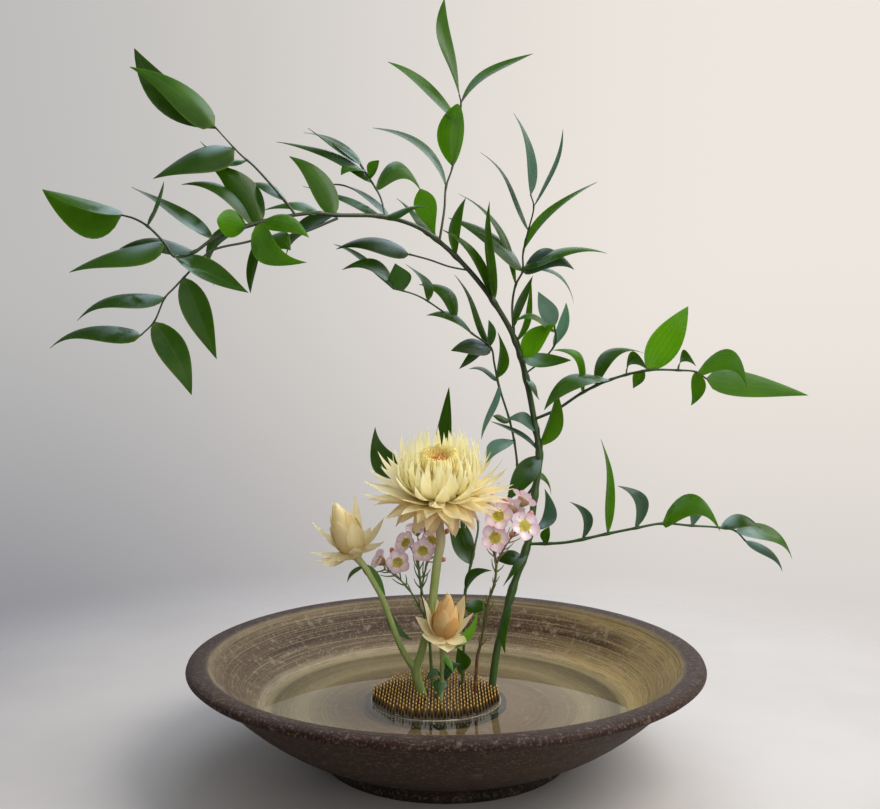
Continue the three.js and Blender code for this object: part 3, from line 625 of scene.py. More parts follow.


# ---- Ruscus ----
# A twig is (radius, points of its route, leaves, leaves that are pieces of their own). Each leaf is
# (place on the route, tip, width, face, bow, tone) and may name its form. face turns a leaf from
# lying flat (0) to facing the front (90), bow lifts its middle and tone runs from dark (0) to bright
# (1), partly each leaf's own green and partly painted shade and painted backlight, or below 0 for a
# leaf tinted pale bluish all over, partly for its paler back and partly as a painted sheen.
# MAIN has (place, radius) pairs for its radius.
PIN_PLATE = 32.5
MAIN = (
    [(0, 2.4), (4, 2.1), (8, 1.8), (15, 1.1), (20, 0.8), (24, 0.5)],
    [
        (28, 13, PIN_PLATE), (31, 14, 55), (34, 15, 68), (41, 17, 94), (51, 19, 124), (55, 21, 152),
        (58, 22, 176), (55, 23, 197), (49, 22, 227), (42, 19, 249), (29, 14, 271), (14, 6, 289),
        (0, 0, 302), (-15, -8, 312), (-35, -18, 317), (-61, -30, 316), (-75, -36, 316), (-101, -44, 310),
        (-126, -53, 299), (-135, -56, 292), (-145, -58, 289), (-150, -60, 296), (-159, -60, 305),
        (-166, -60, 309), (-173, -60, 311),
    ],
    [
        (22, (-149, -64, 328), 9, 15, -2, 0.2), (19, (-177, -52, 294), 14, 35, 5, 0.2),
        (18, (-171, -50, 328), 13, 30, 1, 0.3), (17.2, (-144, -50, 329), 12, 35, 8, 0.3),
        (17, (-130, -46, 341), 17, 70, 5, 0.3), (17.3, (-122, -60, 308), 15, 90, 0, 1.0, "round_leaf"),
        (17.2, (-129, -38, 275), 14, 40, 10, 0.3), (15.7, (-103, -32, 318), 12, 30, 5, 0.5),
        (17, (-74, -52, 300), 12, 60, 4, 0.9), (15.1, (-92, -20, 294), 13, 45, 5, 0.2),
        (15.1, (-89, -26, 350), 14, 65, 5, 0.5), (14.1, (-84, -12, 336), 11, 20, 2, 0.3),
        (13.9, (-72, -4, 338), 9, 18, 4, 0.2), (12.4, (-15, -14, 334), 14, 85, 0, 0.8, "oval_leaf"),
        (12.5, (-30, 4, 332), 11, 30, 2, 0.3), (14, (-10, -26, 321), 11, 30, 2, 0.4),
        (10, (26, 2, 330), 10, 38, -2, 0.3), (10, (-3, -6, 312), 12, 35, 5, 0.3),
        (11.6, (12, 2, 332), 11, 40, 4, 0.4), (8.9, (52, 14, 283), 6, 40, -3, 0.5),
        (8.5, (66, 6, 257), 15, 60, 2, 1.0), (8.5, (75, 2, 235), 13, 45, -3, 0.5),
        (7.9, (57, 12, 211), 7, 30, 0, 0.3), (6.3, (66, 2, 218), 12, 45, -5, 0.5),
        (6, (37, 8, 150), 14, 60, 0, 0.3), (6.1, (27, 12, 198), 8, 18, 2, 0.2),
        (6.8, (37, 14, 199), 11, 48, 3, -0.5), (4.2, (62, 30, 155), 11, 42, -8, -0.4),
        (3.6, (31, 28, 110), 10, 50, 2, 0.2), (3.8, (35, 12, 97), 8, 22, 0, 0.5),
        (2.8, (36, 6, 57), 9, 35, 3, 0.4),
    ],
    {
        "left_tip_leaf": (24, (-216, -58, 325), 21, 70, -3.5, 0.5),
        "left_drooping_leaf": (21, (-200, -63, 280), 18, 45, 1, 0.4),
        "left_inner_leaf": (20, (-104, -66, 269), 15, 48, 0, 0.4),
        "bright_hanging_leaf": (17.1, (-73, -66, 285), 14, 85, -9, 0.75),
    },
)

SHORT_RADIUS = 0.55
# The points of its route and the leaves of each short twig on the main stem.
SHORT_TWIGS = [
    (
        [(-35, -18, 317), (-38, -14, 329), (-43, -12, 338), (-50, -10, 349)],
        [
            (2, (-100, -6, 363), 13, 28, 7, 0.3), (3, (-80, -14, 369), 10, 24, -2, 0.3),
            (2.9, (-85, 0, 370), 11, 27, 4, 0.2), (2.6, (-60, -22, 340), 12, 35, 4, 0.7),
            (2.3, (-38, -24, 348), 9, 60, 0, 0.4), (1.6, (-14, -4, 333), 15, 55, 14, 0.5),
        ],
    ),
    (
        [(14, 6, 289), (2, 3, 291), (-10, 2, 295), (-22, 0, 298)],
        [(3, (-65, -6, 300), 15, 45, 5, 0.1)],
    ),
    (
        [(49, 22, 227), (60, 20, 236), (67, 16, 246), (66, 13, 256)],
        [
            (2.7, (41, 4, 258), 10, 30, 6, 0.5), (1.8, (74, 20, 271), 9, 42, -3, -0.8),
            (3, (56, 12, 277), 12, 70, 0, -0.5),
        ],
    ),
]

TWIGS = {
    "left_lower_twig": (
        0.8,
        [
            (-61, -31, 314), (-82, -40, 304), (-100, -44, 301), (-110, -48, 298), (-127, -52, 293),
            (-135, -54, 285), (-141, -56, 278), (-146, -58, 272), (-150, -60, 267), (-156, -60, 254),
            (-163, -60, 247),
        ],
        [(2.2, (-108, -42, 271), 12, 40, 0, 0.2), (1.9, (-85, -46, 294), 12, 70, 3, 0.5)],
        {
            "left_hanging_leaf": (6, (-122, -62, 234), 14.5, 80, 0, 0.3),
            "left_low_leaf": (9, (-135, -64, 215), 15, 75, 2, 0.3),
            "left_low_tip_leaf": (10, (-214, -55, 240), 14, 38, 6, 0.3),
            "left_side_leaf": (8, (-195, -66, 254), 15, 38, 6, 0.3),
        },
    ),
    "left_upper_twig": (
        0.8,
        [
            (-83, -39, 314), (-89, -41, 322), (-105, -46, 340), (-111, -48, 345), (-115, -49, 349),
            (-125, -52, 360),
        ],
        [(2.5, (-135, -44, 354), 10, 30, -4, 0.4), (1, (-111, -34, 333), 12, 30, 4, 0.2)],
        {
            "left_top_back_leaf": (4.9, (-170, -46, 404), 16, 78, -7, 0.15),
            "left_top_leaf": (5, (-169, -58, 390), 16, 66, 3.5, 0.55),
            "left_upper_leaf": (4, (-156, -60, 330), 21, 55, 3, 0.3),
        },
    ),
    "top_twig": (
        0.8,
        [(-4, -2, 305), (-1, 2, 325), (0, 6, 339), (4, 8, 352), (9, 10, 390), (8, 10, 395)],
        [(2, (-45, 16, 377), 13, 30, 10, 0.4), (3.6, (-35, 4, 413), 12, 42, 2, 0.6)],
        {
            "top_round_leaf": (3, (7, 4, 388), 16, 88, 3, 0.7),
            "top_leaf": (5, (-1, 8, 452), 11, 48, -4, 0.45),
            "top_right_leaf": (4, (53, 14, 421), 11, 40, 5, 0.5),
        },
    ),
    "upper_right_twig": (
        0.8,
        [
            (42, 20, 249), (41, 22, 270), (43, 20, 282), (47, 18, 290), (47, 16, 300), (50, 13, 314),
            (53, 10, 328), (51, 9, 335),
        ],
        [
            (0.3, (54, 26, 288), 10, 30, 2, 0.3), (7, (40, 4, 383), 10, 38, 3, -0.5),
            (6, (71, 14, 376), 8, 20, -3, -0.5), (5, (20, 10, 361), 9, 22, 6, -0.4),
            (4.2, (91, 6, 342), 11, 27, 4, 0.6), (2, (7, 26, 339), 11, 27, 10, 0.4),
            (3, (1, 20, 323), 15, 42, 5, 0.3), (3, (78, 12, 290), 16, 60, 8, -0.25),
            (3.2, (97, 6, 299), 12, 36, 5, 0.6), (3.1, (79, 22, 270), 8, 24, 9, -0.6),
        ],
        {},
    ),
    "loop_twig": (
        0.9,
        [
            (57, 23, 170), (54, 29, 155), (49, 31, 150), (45, 32, 162), (45, 32, 169), (43, 32, 185),
            (40, 31, 198), (33, 28, 220), (30, 26, 234), (28, 24, 243), (16, 20, 252), (6, 15, 260),
            (-2, 12, 265), (-13, 8, 272), (-20, 5, 275), (-32, 2, 278),
        ],
        [
            (15, (-68, 6, 305), 10, 22, 2, 0.2), (14.9, (-62, -4, 288), 12, 45, 8, 0.3),
            (14.5, (-30, -6, 292), 14, 88, 0, 0.3), (12.8, (-25, 14, 294), 10, 28, 3, 0.3),
            (11, (-17, 20, 282), 13, 42, 9, 0.4), (10, (-12, 6, 262), 12, 30, 5, 0.3),
            (9, (3, 14, 241), 14, 50, 2, 0.1), (9.2, (8, 18, 230), 9, 40, 0, 0.2),
            (9.1, (26, 14, 260), 9, 40, 0, 0.3), (7.3, (32, 22, 253), 10, 35, -3, 0.3),
            (9, (5, 26, 289), 9, 25, 3, 0.2), (7.2, (14, 20, 230), 9, 25, 3, 0.2),
            (7, (22, 24, 186), 9, 25, 0, -0.8), (5, (24, 22, 169), 11, 48, 4, -0.9),
            (6, (29, 24, 201), 7, 40, 0, 0.3), (4, (67, 38, 150), 8, 28, 5, 0.4),
        ],
        {},
    ),
    "back_twig": (
        0.9,
        [
            (10, 14, PIN_PLATE), (11, 16, 60), (12, 18, 93), (17, 24, 115), (20, 36, 134), (8, 46, 150),
            (-8, 49, 155), (-22, 50, 162),
        ],
        [
            (5.6, (2, 46, 219), 12, 60, 0, 0.2), (7, (-46, 50, 193), 17, 78, -10, 0.2),
            (2.7, (2, 30, 135), 13, 65, 0, 0.3), (3.1, (9, 30, 137), 9, 45, 0, 0.3),
            (2, (28, 10, 107), 9, 32, 4, 0.3), (1.7, (27, 8, 86), 9, 50, 0, 0.4),
            (0.4, (7, 6, 61), 11, 55, 0, 0.2),
        ],
        {},
    ),
    "right_upper_twig": (
        1,
        [
            (55, 22, 199), (68, 18, 205), (84, 13, 216), (101, 8, 224), (121, 4, 229), (139, 1, 229),
            (149, 0, 228), (155, 0, 224),
        ],
        [
            (2, (63, 2, 241), 11, 42, 11, 0.7), (2.9, (58, -4, 205), 13, 44, 9, 0.4),
            (2.4, (122, 14, 239), 12, 36, 12, 0.3), (3.4, (119, -6, 229), 9, 55, 8, 0.3),
            (3.9, (113, 8, 218), 8, 50, 0, 0.5), (5, (147, -8, 231), 9, 50, 7, 0.3),
            (6, (145, -4, 208), 8.5, 60, -3, 0.6),
        ],
        {
            "right_bright_leaf": (4, (144, 0, 267), 18, 85, 0, 1.0),
            "right_arched_leaf": (6.1, (177, -8, 218), 14, 78, 13, 0.75),
            "right_tip_leaf": (7, (216, 0, 214), 16, 68, 0, 0.7),
        },
    ),
    "right_lower_twig": (
        1,
        [
            (51, 18, 122), (73, 12, 124), (98, 8, 130), (115, 5, 134), (130, 3, 137), (147, 1, 136),
            (164, 0, 135), (173, 0, 133), (179, 0, 127),
        ],
        [
            (0.45, (63, 10, 134), 8, 38, 0, 0.3), (1.4, (74, 4, 150), 10, 45, 6, -0.3),
            (3, (102, 0, 160), 13, 50, 8, -0.3), (5, (158, 6, 140), 8, 60, 6, -0.6),
            (6, (187, -4, 135), 11, 40, 5, 0.3), (7, (207, 0, 116), 13, 40, 6, 0.5),
            (8, (202, 2, 108), 9, 35, 4, -0.4),
        ],
        {
            "right_upright_leaf": (2, (93, 4, 188), 12, 36, 3, 0.7),
            "right_folded_leaf": (4, (163, -4, 133), 15, 66, 14, 0.7),
        },
    ),
}

# How leaves differ from the rest: fold (how far the edges rise, as a share of the half width), twist
# from base to tip in radians, peak (below 0.74 is widest nearer the base), and for some full (below
# 0.9 is rounder).
LEAF_FORMS = {
    "left_tip_leaf": (-1.2, 0.1, 0.78), "left_top_back_leaf": (0.2, 0.2, 0.98),
    "left_top_leaf": (-0.3, -0.3, 0.55), "left_upper_leaf": (-0.5, 0.3, 0.62),
    "left_drooping_leaf": (-0.45, 0.2, 0.62), "left_side_leaf": (-0.4, 0.2, 0.7),
    "left_low_tip_leaf": (-0.45, 0.25, 0.66), "left_hanging_leaf": (0.2, 0.2, 0.72),
    "left_low_leaf": (0.2, -0.2, 0.74), "bright_hanging_leaf": (0.1, 0.3, 0.6),
    "top_round_leaf": (-0.3, 0.1, 1.2, 0.58), "top_leaf": (0.35, -0.9, 1.1),
    "top_right_leaf": (0.3, 0.4, 0.8), "right_bright_leaf": (0.2, 0.15, 0.8),
    "right_arched_leaf": (-0.15, 0.15, 0.58), "right_tip_leaf": (-0.15, 0.15, 0.55),
    "right_folded_leaf": (-0.2, 0.2, 0.54), "right_upright_leaf": (0.35, 0.5, 0.8),
    "round_leaf": (-0.2, 0.1, 1.15, 0.6), "oval_leaf": (-0.2, 0.1, 1.9, 0.8),
}
LEAF_ROWS = 16
WOOD, LEAF = range(2)  # a twig's materials, in their order
SWELLING = 0.35  # how much thicker a stem is where a leaf leaves it
SWELLING_REACH = 0.12  # and how far on the route the swelling goes


def leaf_outline(t, peak, full):
    """Share of the full width from base (0) to tip (1): widest before the middle, long pointed."""
    return math.sin(math.pi * t**peak) ** full * (1 - 0.2 * t**2) * 1.08


def add_leaf(shape, points, leaf, finish, rng):
    place, tip, width, face, bow, tone, *name = leaf
    base = spot_on(points, place)
    chord = vec(*tip) - base
    length = np.linalg.norm(chord)
    along = chord / length
    back = unit(vec(0, 1, 0) - along * along[1])
    lift = np.cross(along, back)
    if lift[2] < 0:
        lift = -lift
    across = ray_at(math.radians(face), back, lift)
    up = np.cross(along, across)
    if np.dot(up, vec(0, -0.4, 1)) < 0:
        up = -up
    twist = rng.uniform(-0.6, 0.6)
    fold = rng.choice((-1, 1)) * rng.uniform(0.15, 0.55)
    peak = rng.uniform(0.64, 0.82)
    full = rng.uniform(0.82, 0.98)
    sway = rng.uniform(-0.025, 0.025) * length
    curl = rng.uniform(-0.03, 0.06) * length
    form = LEAF_FORMS.get(name[0], ()) if name else ()
    fold, twist, peak, full = (*form, *(fold, twist, peak, full)[len(form):])

    def section(t):
        centre = base + chord * t + lift * 4 * bow * t * (1 - t)
        centre = centre + up * (sway * math.sin(2 * math.pi * t) + curl * t**2 * (1 - t) * 4)
        turn = twist * (t - 0.45)
        half = max(0.5 * (1 - t), 0.5 * width * leaf_outline(t, peak, full))
        return centre, turned_about(across, along, turn), turned_about(up, along, turn), half

    ends = (base - along * 0.4, vec(*tip))
    add_sheet(
        shape, section, LEAF_ROWS, 0.985, LEAF_THICKNESS, lambda t: fold * (1 - 0.5 * t), finish, tone, ends
    )


def add_wood(shape, points, radius_at, leaf_places, sides=8):
    """A stem that swells a little where each leaf leaves it."""
    def swollen(place):
        near = min(abs(place - other) for other in leaf_places)
        return radius_at(place) * (1 + SWELLING * math.exp(-(near / SWELLING_REACH) ** 2))

    shape.loft(tube_rings(points, swollen, sides, spacing=1.8), WOOD, tone=0.4)


def ruscus_leaf():
    """Darkest at tone 0 and brightest at 1, partly painted shade and painted backlight, with a painted
    bluish sheen and a painted highlight where it faces up near the stem.
    """
    f = Finish("ruscus_leaf")
    tone, along = f.number("tone"), f.number("along")
    cloud = f.noise(f.place(), 60, 3, 0.6)
    veins = f.lines(19, 0.2, 1.0)
    spine = f.math("ABSOLUTE", f.number("across"))
    # tone mixes a dark and a bright green: partly each leaf's own green, partly painted shade and painted
    # backlight.
    dark = f.over("172208", "24340d", cloud, 0.3, 0.7)
    light = f.over("386409", "487d0e", cloud, 0.3, 0.7)
    blade = f.mix(f.times(veins, 0.1), f.mix(tone, dark, light), "41602a")
    blade = f.over(blade, "64813c", spine, 0.07, 0.0, 0.3)
    blade = f.over(blade, "7f9440", spine, 0.86, 1.0, 0.4)
    blade = f.over(blade, "74883f", along, 0.12, 0.0, 0.5)
    blade = f.over(blade, "4a6a48", f.number("under"), 0.3, 0.7, 0.5)
    # Painted reflection: a bluish sky sheen painted on the darker leaves where they face up, near the stem.
    upward = f.stretch(f.part(f.node("NewGeometry").outputs["Normal"], 2), 0.25, 0.85)
    sheen = f.times(upward, f.stretch(along, 0.7, 0.1, 0.0, 0.5))
    painted_sheen_on_dark = f.times(f.times(sheen, f.stretch(tone, 0.55, 0.1)), f.stretch(cloud, 0.45, 0.6, 0.2, 1.0))
    blade = f.mix(painted_sheen_on_dark, blade, "7d9c96")
    # Painted highlight: a blue-white glint near the base where the leaf faces up, on all but the brightest
    # leaves.
    painted_glint = f.times(f.stretch(along, 0.55, 0.12, 0.0, 0.6), f.stretch(cloud, 0.38, 0.5))
    blade = f.over(blade, "c4dfeb", tone, 0.8, 0.5, 1.0, f.times(painted_glint, upward))
    # Below tone 0, a pale bluish tint over the whole leaf: partly its paler back and partly a painted sheen.
    blade = f.over(blade, "83a799", tone, 0.0, -1.0, 0.8)
    # The colour let through is also brighter for bright tones, partly painted backlight.
    glow = f.mix(f.math("POWER", f.math("MAXIMUM", tone, 0.0), 1.4), "1a3305", "6fb40a")
    glow = f.mix(f.times(veins, 0.18), f.over(glow, "5c8f63", tone, 0.0, -1.0), "234a06")
    height = f.math("ADD", f.times(veins, 0.5), f.stretch(spine, 0.07, 0.0))
    roughness = f.stretch(cloud, 0.2, 0.8, 0.24, 0.4)
    front = f.skin(blade, roughness, (height, 0.15, 0.08), {"Specular IOR Level": 0.22})
    return f.thin(front, glow, 0.42)


def ruscus_wood():
    f = Finish("ruscus_stem")
    place = f.place()
    blotch = f.noise(place, 120, 3, 0.6)
    grain = f.noise(f.vector("MULTIPLY", place, (900, 900, 90)), 1, 2)
    shade = f.over("34551f", "2c3a1c", f.part(place, 2), 0.12, 0.3)
    shade = f.over(shade, "3a3a24", blotch, 0.4, 0.75, 0.6)
    shade = f.over(shade, "5f7540", grain, 0.5, 0.8, 0.3)
    return f.solid(shade, f.stretch(blotch, 0.3, 0.7, 0.35, 0.5), (grain, 0.3, 0.15))


def ruscus():
    materials = [ruscus_wood(), ruscus_leaf()]
    radii, points, leaves, _ = MAIN
    main = Shape()
    twig_places = [3, 5]
    swellings = [leaf[0] for leaf in leaves] + twig_places
    add_wood(main, points, lambda place: np.interp(place, *zip(*radii)), swellings, sides=14)
    rng = random.Random("main")
    for leaf in leaves:
        add_leaf(main, points, leaf, LEAF, rng)
    for points, leaves in SHORT_TWIGS:
        add_wood(main, points, lambda place: SHORT_RADIUS, [leaf[0] for leaf in leaves])
        for leaf in leaves:
            add_leaf(main, points, leaf, LEAF, rng)
    main.make("ruscus_main_spray", materials, "ruscus_main_stem")
    for name, (radius, points, leaves, apart) in TWIGS.items():
        rng = random.Random(name)
        last = len(points) - 1
        spray = Shape()
        swellings = [leaf[0] for leaf in (*leaves, *apart.values())]
        add_wood(spray, points, lambda place: radius * (1.0 - 0.5 * place / last), swellings)
        for leaf in leaves:
            add_leaf(spray, points, leaf, LEAF, rng)
        spray.make(f"{name}_spray", materials, name)
    for _, points, _, apart in (MAIN, *TWIGS.values()):
        for name, leaf in apart.items():
            blade = Shape()
            add_leaf(blade, points, (*leaf, name), 0, random.Random(name))
            blade.make(f"{name}_blade", materials[1:], name)


# ---- Strawflower bloom ----
BLOOM = (-4, -2, 145)
BLOOM_LEAN = 16
DISC_LEAN = 14
# Rows of bracts for each CAD row, from the lowest, before the bloom leans forward: count, ring
# height, tip radius, tip height, width, bow (upwards), tone (0 yellow to 1 peach).
BLOOM_ROWS = {
    "drooping_bracts": [(7, 147, 16, 134, 9, 3, 0.85), (13, 149, 27, 141, 10.5, 4, 0.75)],
    "lower_bracts": [(14, 151, 36, 148, 9.5, 3, 0.6), (15, 152, 44, 155, 9, 1, 0.4)],
    "wide_bracts": [(15, 154, 46, 161, 8.5, -1, 0.3), (14, 155, 43, 169, 8, -3, 0.2)],
    "middle_bracts": [(13, 156, 37, 179, 7, -5, 0.15), (20, 156, 19, 166, 6, -4, 0.1)],
    "upper_bracts": [(10, 158, 29, 187, 6.5, -8, 0.1), (20, 158, 21, 173, 6, -6, 0.1)],
    "inner_bracts": [
        (22, 159, 22, 181, 5.4, -8, 0.05), (22, 161, 21, 189, 5.0, -9, 0.05),
        (20, 164, 18.5, 192, 4.4, -8, 0.05), (20, 167, 15, 190, 3.2, -4, 0.0),
    ],
}
BRACT_ROWS = 12
BRACT_FOOT = 5.5  # how far out the bracts start
DISC_HEIGHT = 171  # above this, the bracts nearest the front are shorter
FLORETS = 230
DISC_RADIUS = 11.8


def bract_outline(t):
    """Share of the full width: narrow at the base, widest half way, and sharply pointed."""
    return 0.45 * (1 - t) ** 2 + math.sin(math.pi * t) ** 0.85 * (1 - 0.3 * t**3)


def add_bract(shape, base, tip, turn, width, bow, tone, rng, roll=0.0):
    """A papery bract across the ray it points along, level unless it is rolled about its length."""
    chord = tip - base
    along = unit(chord)
    side = turned_about(vec(-math.sin(turn), math.cos(turn), 0), along, roll)
    up = unit(np.cross(chord, side))
    if up[2] < 0:
        up = -up
    twist = rng.uniform(-0.2, 0.2)
    cup = rng.uniform(0.1, 0.3)
    flick = rng.uniform(-0.03, 0.04) * np.linalg.norm(chord)

    def section(t):
        centre = base + chord * t + up * (4 * bow * t * (1 - t) + flick * math.sin(2 * math.pi * t))
        half = 0.5 * width * bract_outline(t)
        return centre, turned_about(side, along, twist * t), turned_about(up, along, twist * t), half

    rise = lambda t: cup * (0.6 + 0.4 * t)
    add_sheet(shape, section, BRACT_ROWS, 0.97, BRACT_THICKNESS, rise, 0, tone, (None, tip))


def papery(name, yellow, peach, deep, glow, share=0.4):
    """Papery bract: fine lengthways lines, a satin face and a share of light that comes through."""
    f = Finish(name)
    tone = f.number("tone")
    cloud = f.noise(f.place(), 140, 3, 0.6)
    lines = f.lines(26, -0.2, 1.0)
    body = f.over(f.mix(tone, yellow, peach), deep, f.number("along"), 0.55, 0.0, 0.5)
    body = f.mix(f.times(lines, 0.2), body, deep)
    body = f.over(body, peach, cloud, 0.45, 0.75, 0.3)
    roughness = f.stretch(cloud, 0.2, 0.8, 0.3, 0.45)
    front = f.skin(body, roughness, (lines, 0.3, 0.15), {"Specular IOR Level": 0.45})
    return f.thin(front, f.mix(tone, glow, peach), share)


def floret_colour(f):
    """Rusty in the middle of the disc to pale yellow at its edge, and paler at each floret's tip."""
    stops = [(0.0, "a5501a"), (0.25, "d09a3a"), (0.5, "ecd67a"), (1.0, "f4eba6")]
    return f.over(f.ramp(f.number("tone"), stops), "f3e39a", f.number("along"), 0.5, 1.0, 0.4)


def bloom():
    pale = papery("pale_bract", "fdfbd6", "ffe4bc", "f2e2a8", "fff8c4", 0.52)
    for name, rows in BLOOM_ROWS.items():
        shape = Shape(BLOOM, BLOOM_LEAN)
        rng = random.Random(name)
        for number, (count, height, tip_radius, tip_height, width, bow, tone) in enumerate(rows):
            for i in range(count):
                turn = 2 * math.pi * (i + 0.5 * number + rng.uniform(-0.16, 0.16)) / count
                reach = tip_radius * rng.uniform(0.93, 1.05)
                nearness = 0.5 - 0.5 * math.sin(turn)
                shorter = 0.36 * max(0, tip_height - DISC_HEIGHT) * nearness**1.5
                rise = tip_height - shorter + rng.uniform(-1.6, 1.6)
                base = vec(*BLOOM[:2], height) + ray_at(turn) * BRACT_FOOT
                tip = vec(*BLOOM[:2], rise) + ray_at(turn) * reach
                add_bract(shape, base, tip, turn, width * rng.uniform(0.85, 1.12), bow, tone, rng)
        shape.make(f"{name}_row", [pale], f"bloom_{name}")
    disc = Shape(BLOOM, BLOOM_LEAN)
    column = [(4.2, 144.6), (5, 149), (5.2, 166), (7, 172)]
    disc.loft(turned_rings(column, 32, BLOOM), tone=0.15)
    heart = disc.leaned((*BLOOM[:2], DISC_HEIGHT))[0]
    disc.lean_about(heart, BLOOM_LEAN + DISC_LEAN)
    dome = [(4, 0), (9, 3), (11.6, 6.4), (11.2, 7.6), (4, 8.2)]
    disc.loft(turned_rings([(r, heart[2] + z) for r, z in dome], 32, heart), tone=0.3)
    rng = random.Random("florets")
    for i in range(FLORETS):
        radius = DISC_RADIUS * math.sqrt((i + 0.5) / FLORETS)
        out = ray_at(i * GOLDEN_ANGLE)
        foot = heart + vec(0, 0, 7.2) + out * radius
        height = rng.uniform(2.0, 3.2) + 0.42 * max(0, radius - 4)
        lean = out * (1.4 - 0.26 * radius) + vec(rng.gauss(0, 0.3), rng.gauss(0, 0.3), 0)
        middle = foot + vec(0, 0, height * 0.6) + lean * 0.25
        top = foot + vec(0, 0, height) + lean
        rings = [level_ring(p, r, p[2], 5) for r, p in ((0.42, foot), (0.4, middle), (0.3, top))]
        disc.loft(rings, tone=max(0, min(1, (radius - 2) / 8 + rng.uniform(-0.15, 0.3))))
    florets = speckled("disc_florets", floret_colour, 300, 2, ("9c5a22", 0.5, 0.2), 0.6, (0.4, 0.1))
    disc.make("disc_florets_head", [florets], "bloom_centre")


# ---- Strawflower buds ----
# A tip is (x, y, z, width) of a collar bract. The colours are papery's.
BUDS = {
    "left_bud": {
        "base": (-53.3, -6, 118.9), "top": (-66, -6, 151), "radius": 8.6, "slot": "tan_bract",
        "tips": [
            (-80, -4, 139, 6), (-80, -12, 122, 7), (-72, -22, 116, 8), (-37, -2, 141, 6),
            (-36, -12, 129, 6), (-52, -24, 127, 7), (-60, 12, 124, 8), (-74, 8, 130, 7),
            (-46, 8, 134, 7), (-76, -17, 118, 6), (-62, -24, 119, 8), (-40, -18, 126, 6),
            (-55, 2, 154, 6), (-48, 2, 122, 7),
        ],
        "heart_colours": ("faf0c4", "f0dc9e", "cda862", "fbe8a4"),
        "collar_colours": ("faf3d0", "f3e4b4", "dcc088", "fbf0b8"),
    },
    "front_bud": {
        "base": (-2, -12, 70.4), "top": (2, -12, 98), "radius": 7.3, "slot": "apricot_bract",
        "tips": [
            (-18, -11, 84, 10), (-14, -13, 97, 10), (11, -8, 96, 12), (16, -14, 87, 11),
            (12, -22, 72, 11), (1, -26, 67, 12), (-14, -18, 75, 10), (4, 4, 90, 8), (-7, -24, 71, 9),
            (-6, 4, 92, 8),
        ],
        "heart_colours": ("f0dba0", "dba95e", "a8692c", "ecc681"),
        "collar_colours": ("fbf4d2", "f7e6b6", "e0c07c", "fdf2c0"),
    },
}
# How wide a bud is at shares of its height, as a share of its radius.
BUD_PROFILE = [
    (0.06, 0.5), (0.18, 0.86), (0.32, 0.98), (0.46, 0.95), (0.64, 0.8), (0.82, 0.55), (0.95, 0.26),
]
BUD_WRAPS = 11


def bud(name, base, top, radius, slot, tips, heart_colours, collar_colours):
    """A bud of bracts folded over each other, in a collar of bracts that have spread."""
    origin = vec(*base)
    axis = vec(*top) - origin
    height = np.linalg.norm(axis)
    ahead = unit(axis)
    side = unit(np.cross(ahead, vec(0, 1, 0)))
    other = np.cross(ahead, side)

    def on_axis(share):
        return origin + ahead * share * height

    def reach_at(share, extra):
        return radius * float(np.interp(share, *zip(*BUD_PROFILE))) + extra

    def on_bud(share, turn, extra):
        return on_axis(share) + reach_at(share, extra) * ray_at(turn, side, other)

    def ring(share, reach):
        return ring_about(on_axis(share), side, other, reach, 20)

    heart = Shape()
    core = [ring(share, reach_at(share, -0.9)) for share in np.linspace(0.08, 0.96, 12)]
    heart.loft(core, tone=0.2, ends=(on_axis(0.06), on_axis(0.98)))
    rng = random.Random(name)
    around, upper = out_and_back(10)
    for i in range(BUD_WRAPS):
        level = i / (BUD_WRAPS - 1)
        middle = -0.6 + i * GOLDEN_ANGLE + rng.uniform(-0.15, 0.15)
        low = 0.16 - 0.1 * level
        high = 1.0 - 0.5 * level + rng.uniform(-0.04, 0.04)
        spread = 0.95 - 0.25 * level
        lifted = rng.uniform(0.3, 1.0)
        rings = []
        for t in np.linspace(0, 0.97, 14):
            share = low + (high - low) * t
            half = spread * math.sin(math.pi * (0.2 + 0.8 * t)) ** 0.7
            outward = -0.8 + 1.9 * level + (0.4 + lifted * level) * t**3
            extras = outward + 0.35 * lifted * around**4 + 0.45 * (upper > 0) * (1 - around**4)
            rings.append([on_bud(share, middle + half * a, extra) for a, extra in zip(around, extras)])
        point = on_bud(high, middle, -0.4 + 1.9 * level + 0.4 + lifted * level)
        heart.loft(rings, tone=rng.uniform(0.0, 1.0), across=around, ends=(None, point))
    paper = papery(f"{name}_heart_paper", *heart_colours)
    heart.make(f"{name}_folded_bracts", [paper], f"{name}_heart")

    collar = Shape()
    for *tip, width in tips:
        tip = vec(*tip)
        out = tip - origin
        out = unit(out - ahead * np.dot(out, ahead)) * 0.5 * radius
        root = on_axis(0.08) + out
        turn = math.atan2(tip[1] - root[1], tip[0] - root[0])
        tone = rng.uniform(0, 0.7)
        add_bract(collar, root, tip, turn, width, -0.16 * radius, tone, rng, roll=0.35 * math.cos(turn))
    cup = [(0.3, -0.05), (0.5, 0.0), (0.66, 0.08), (0.6, 0.16)]
    collar.loft([ring(share, radius * reach) for reach, share in cup], tone=0.8)
    paper = papery(f"{name}_collar_paper", *collar_colours)
    collar.make(f"{name}_spread_bracts", [paper], f"{name}_bracts")


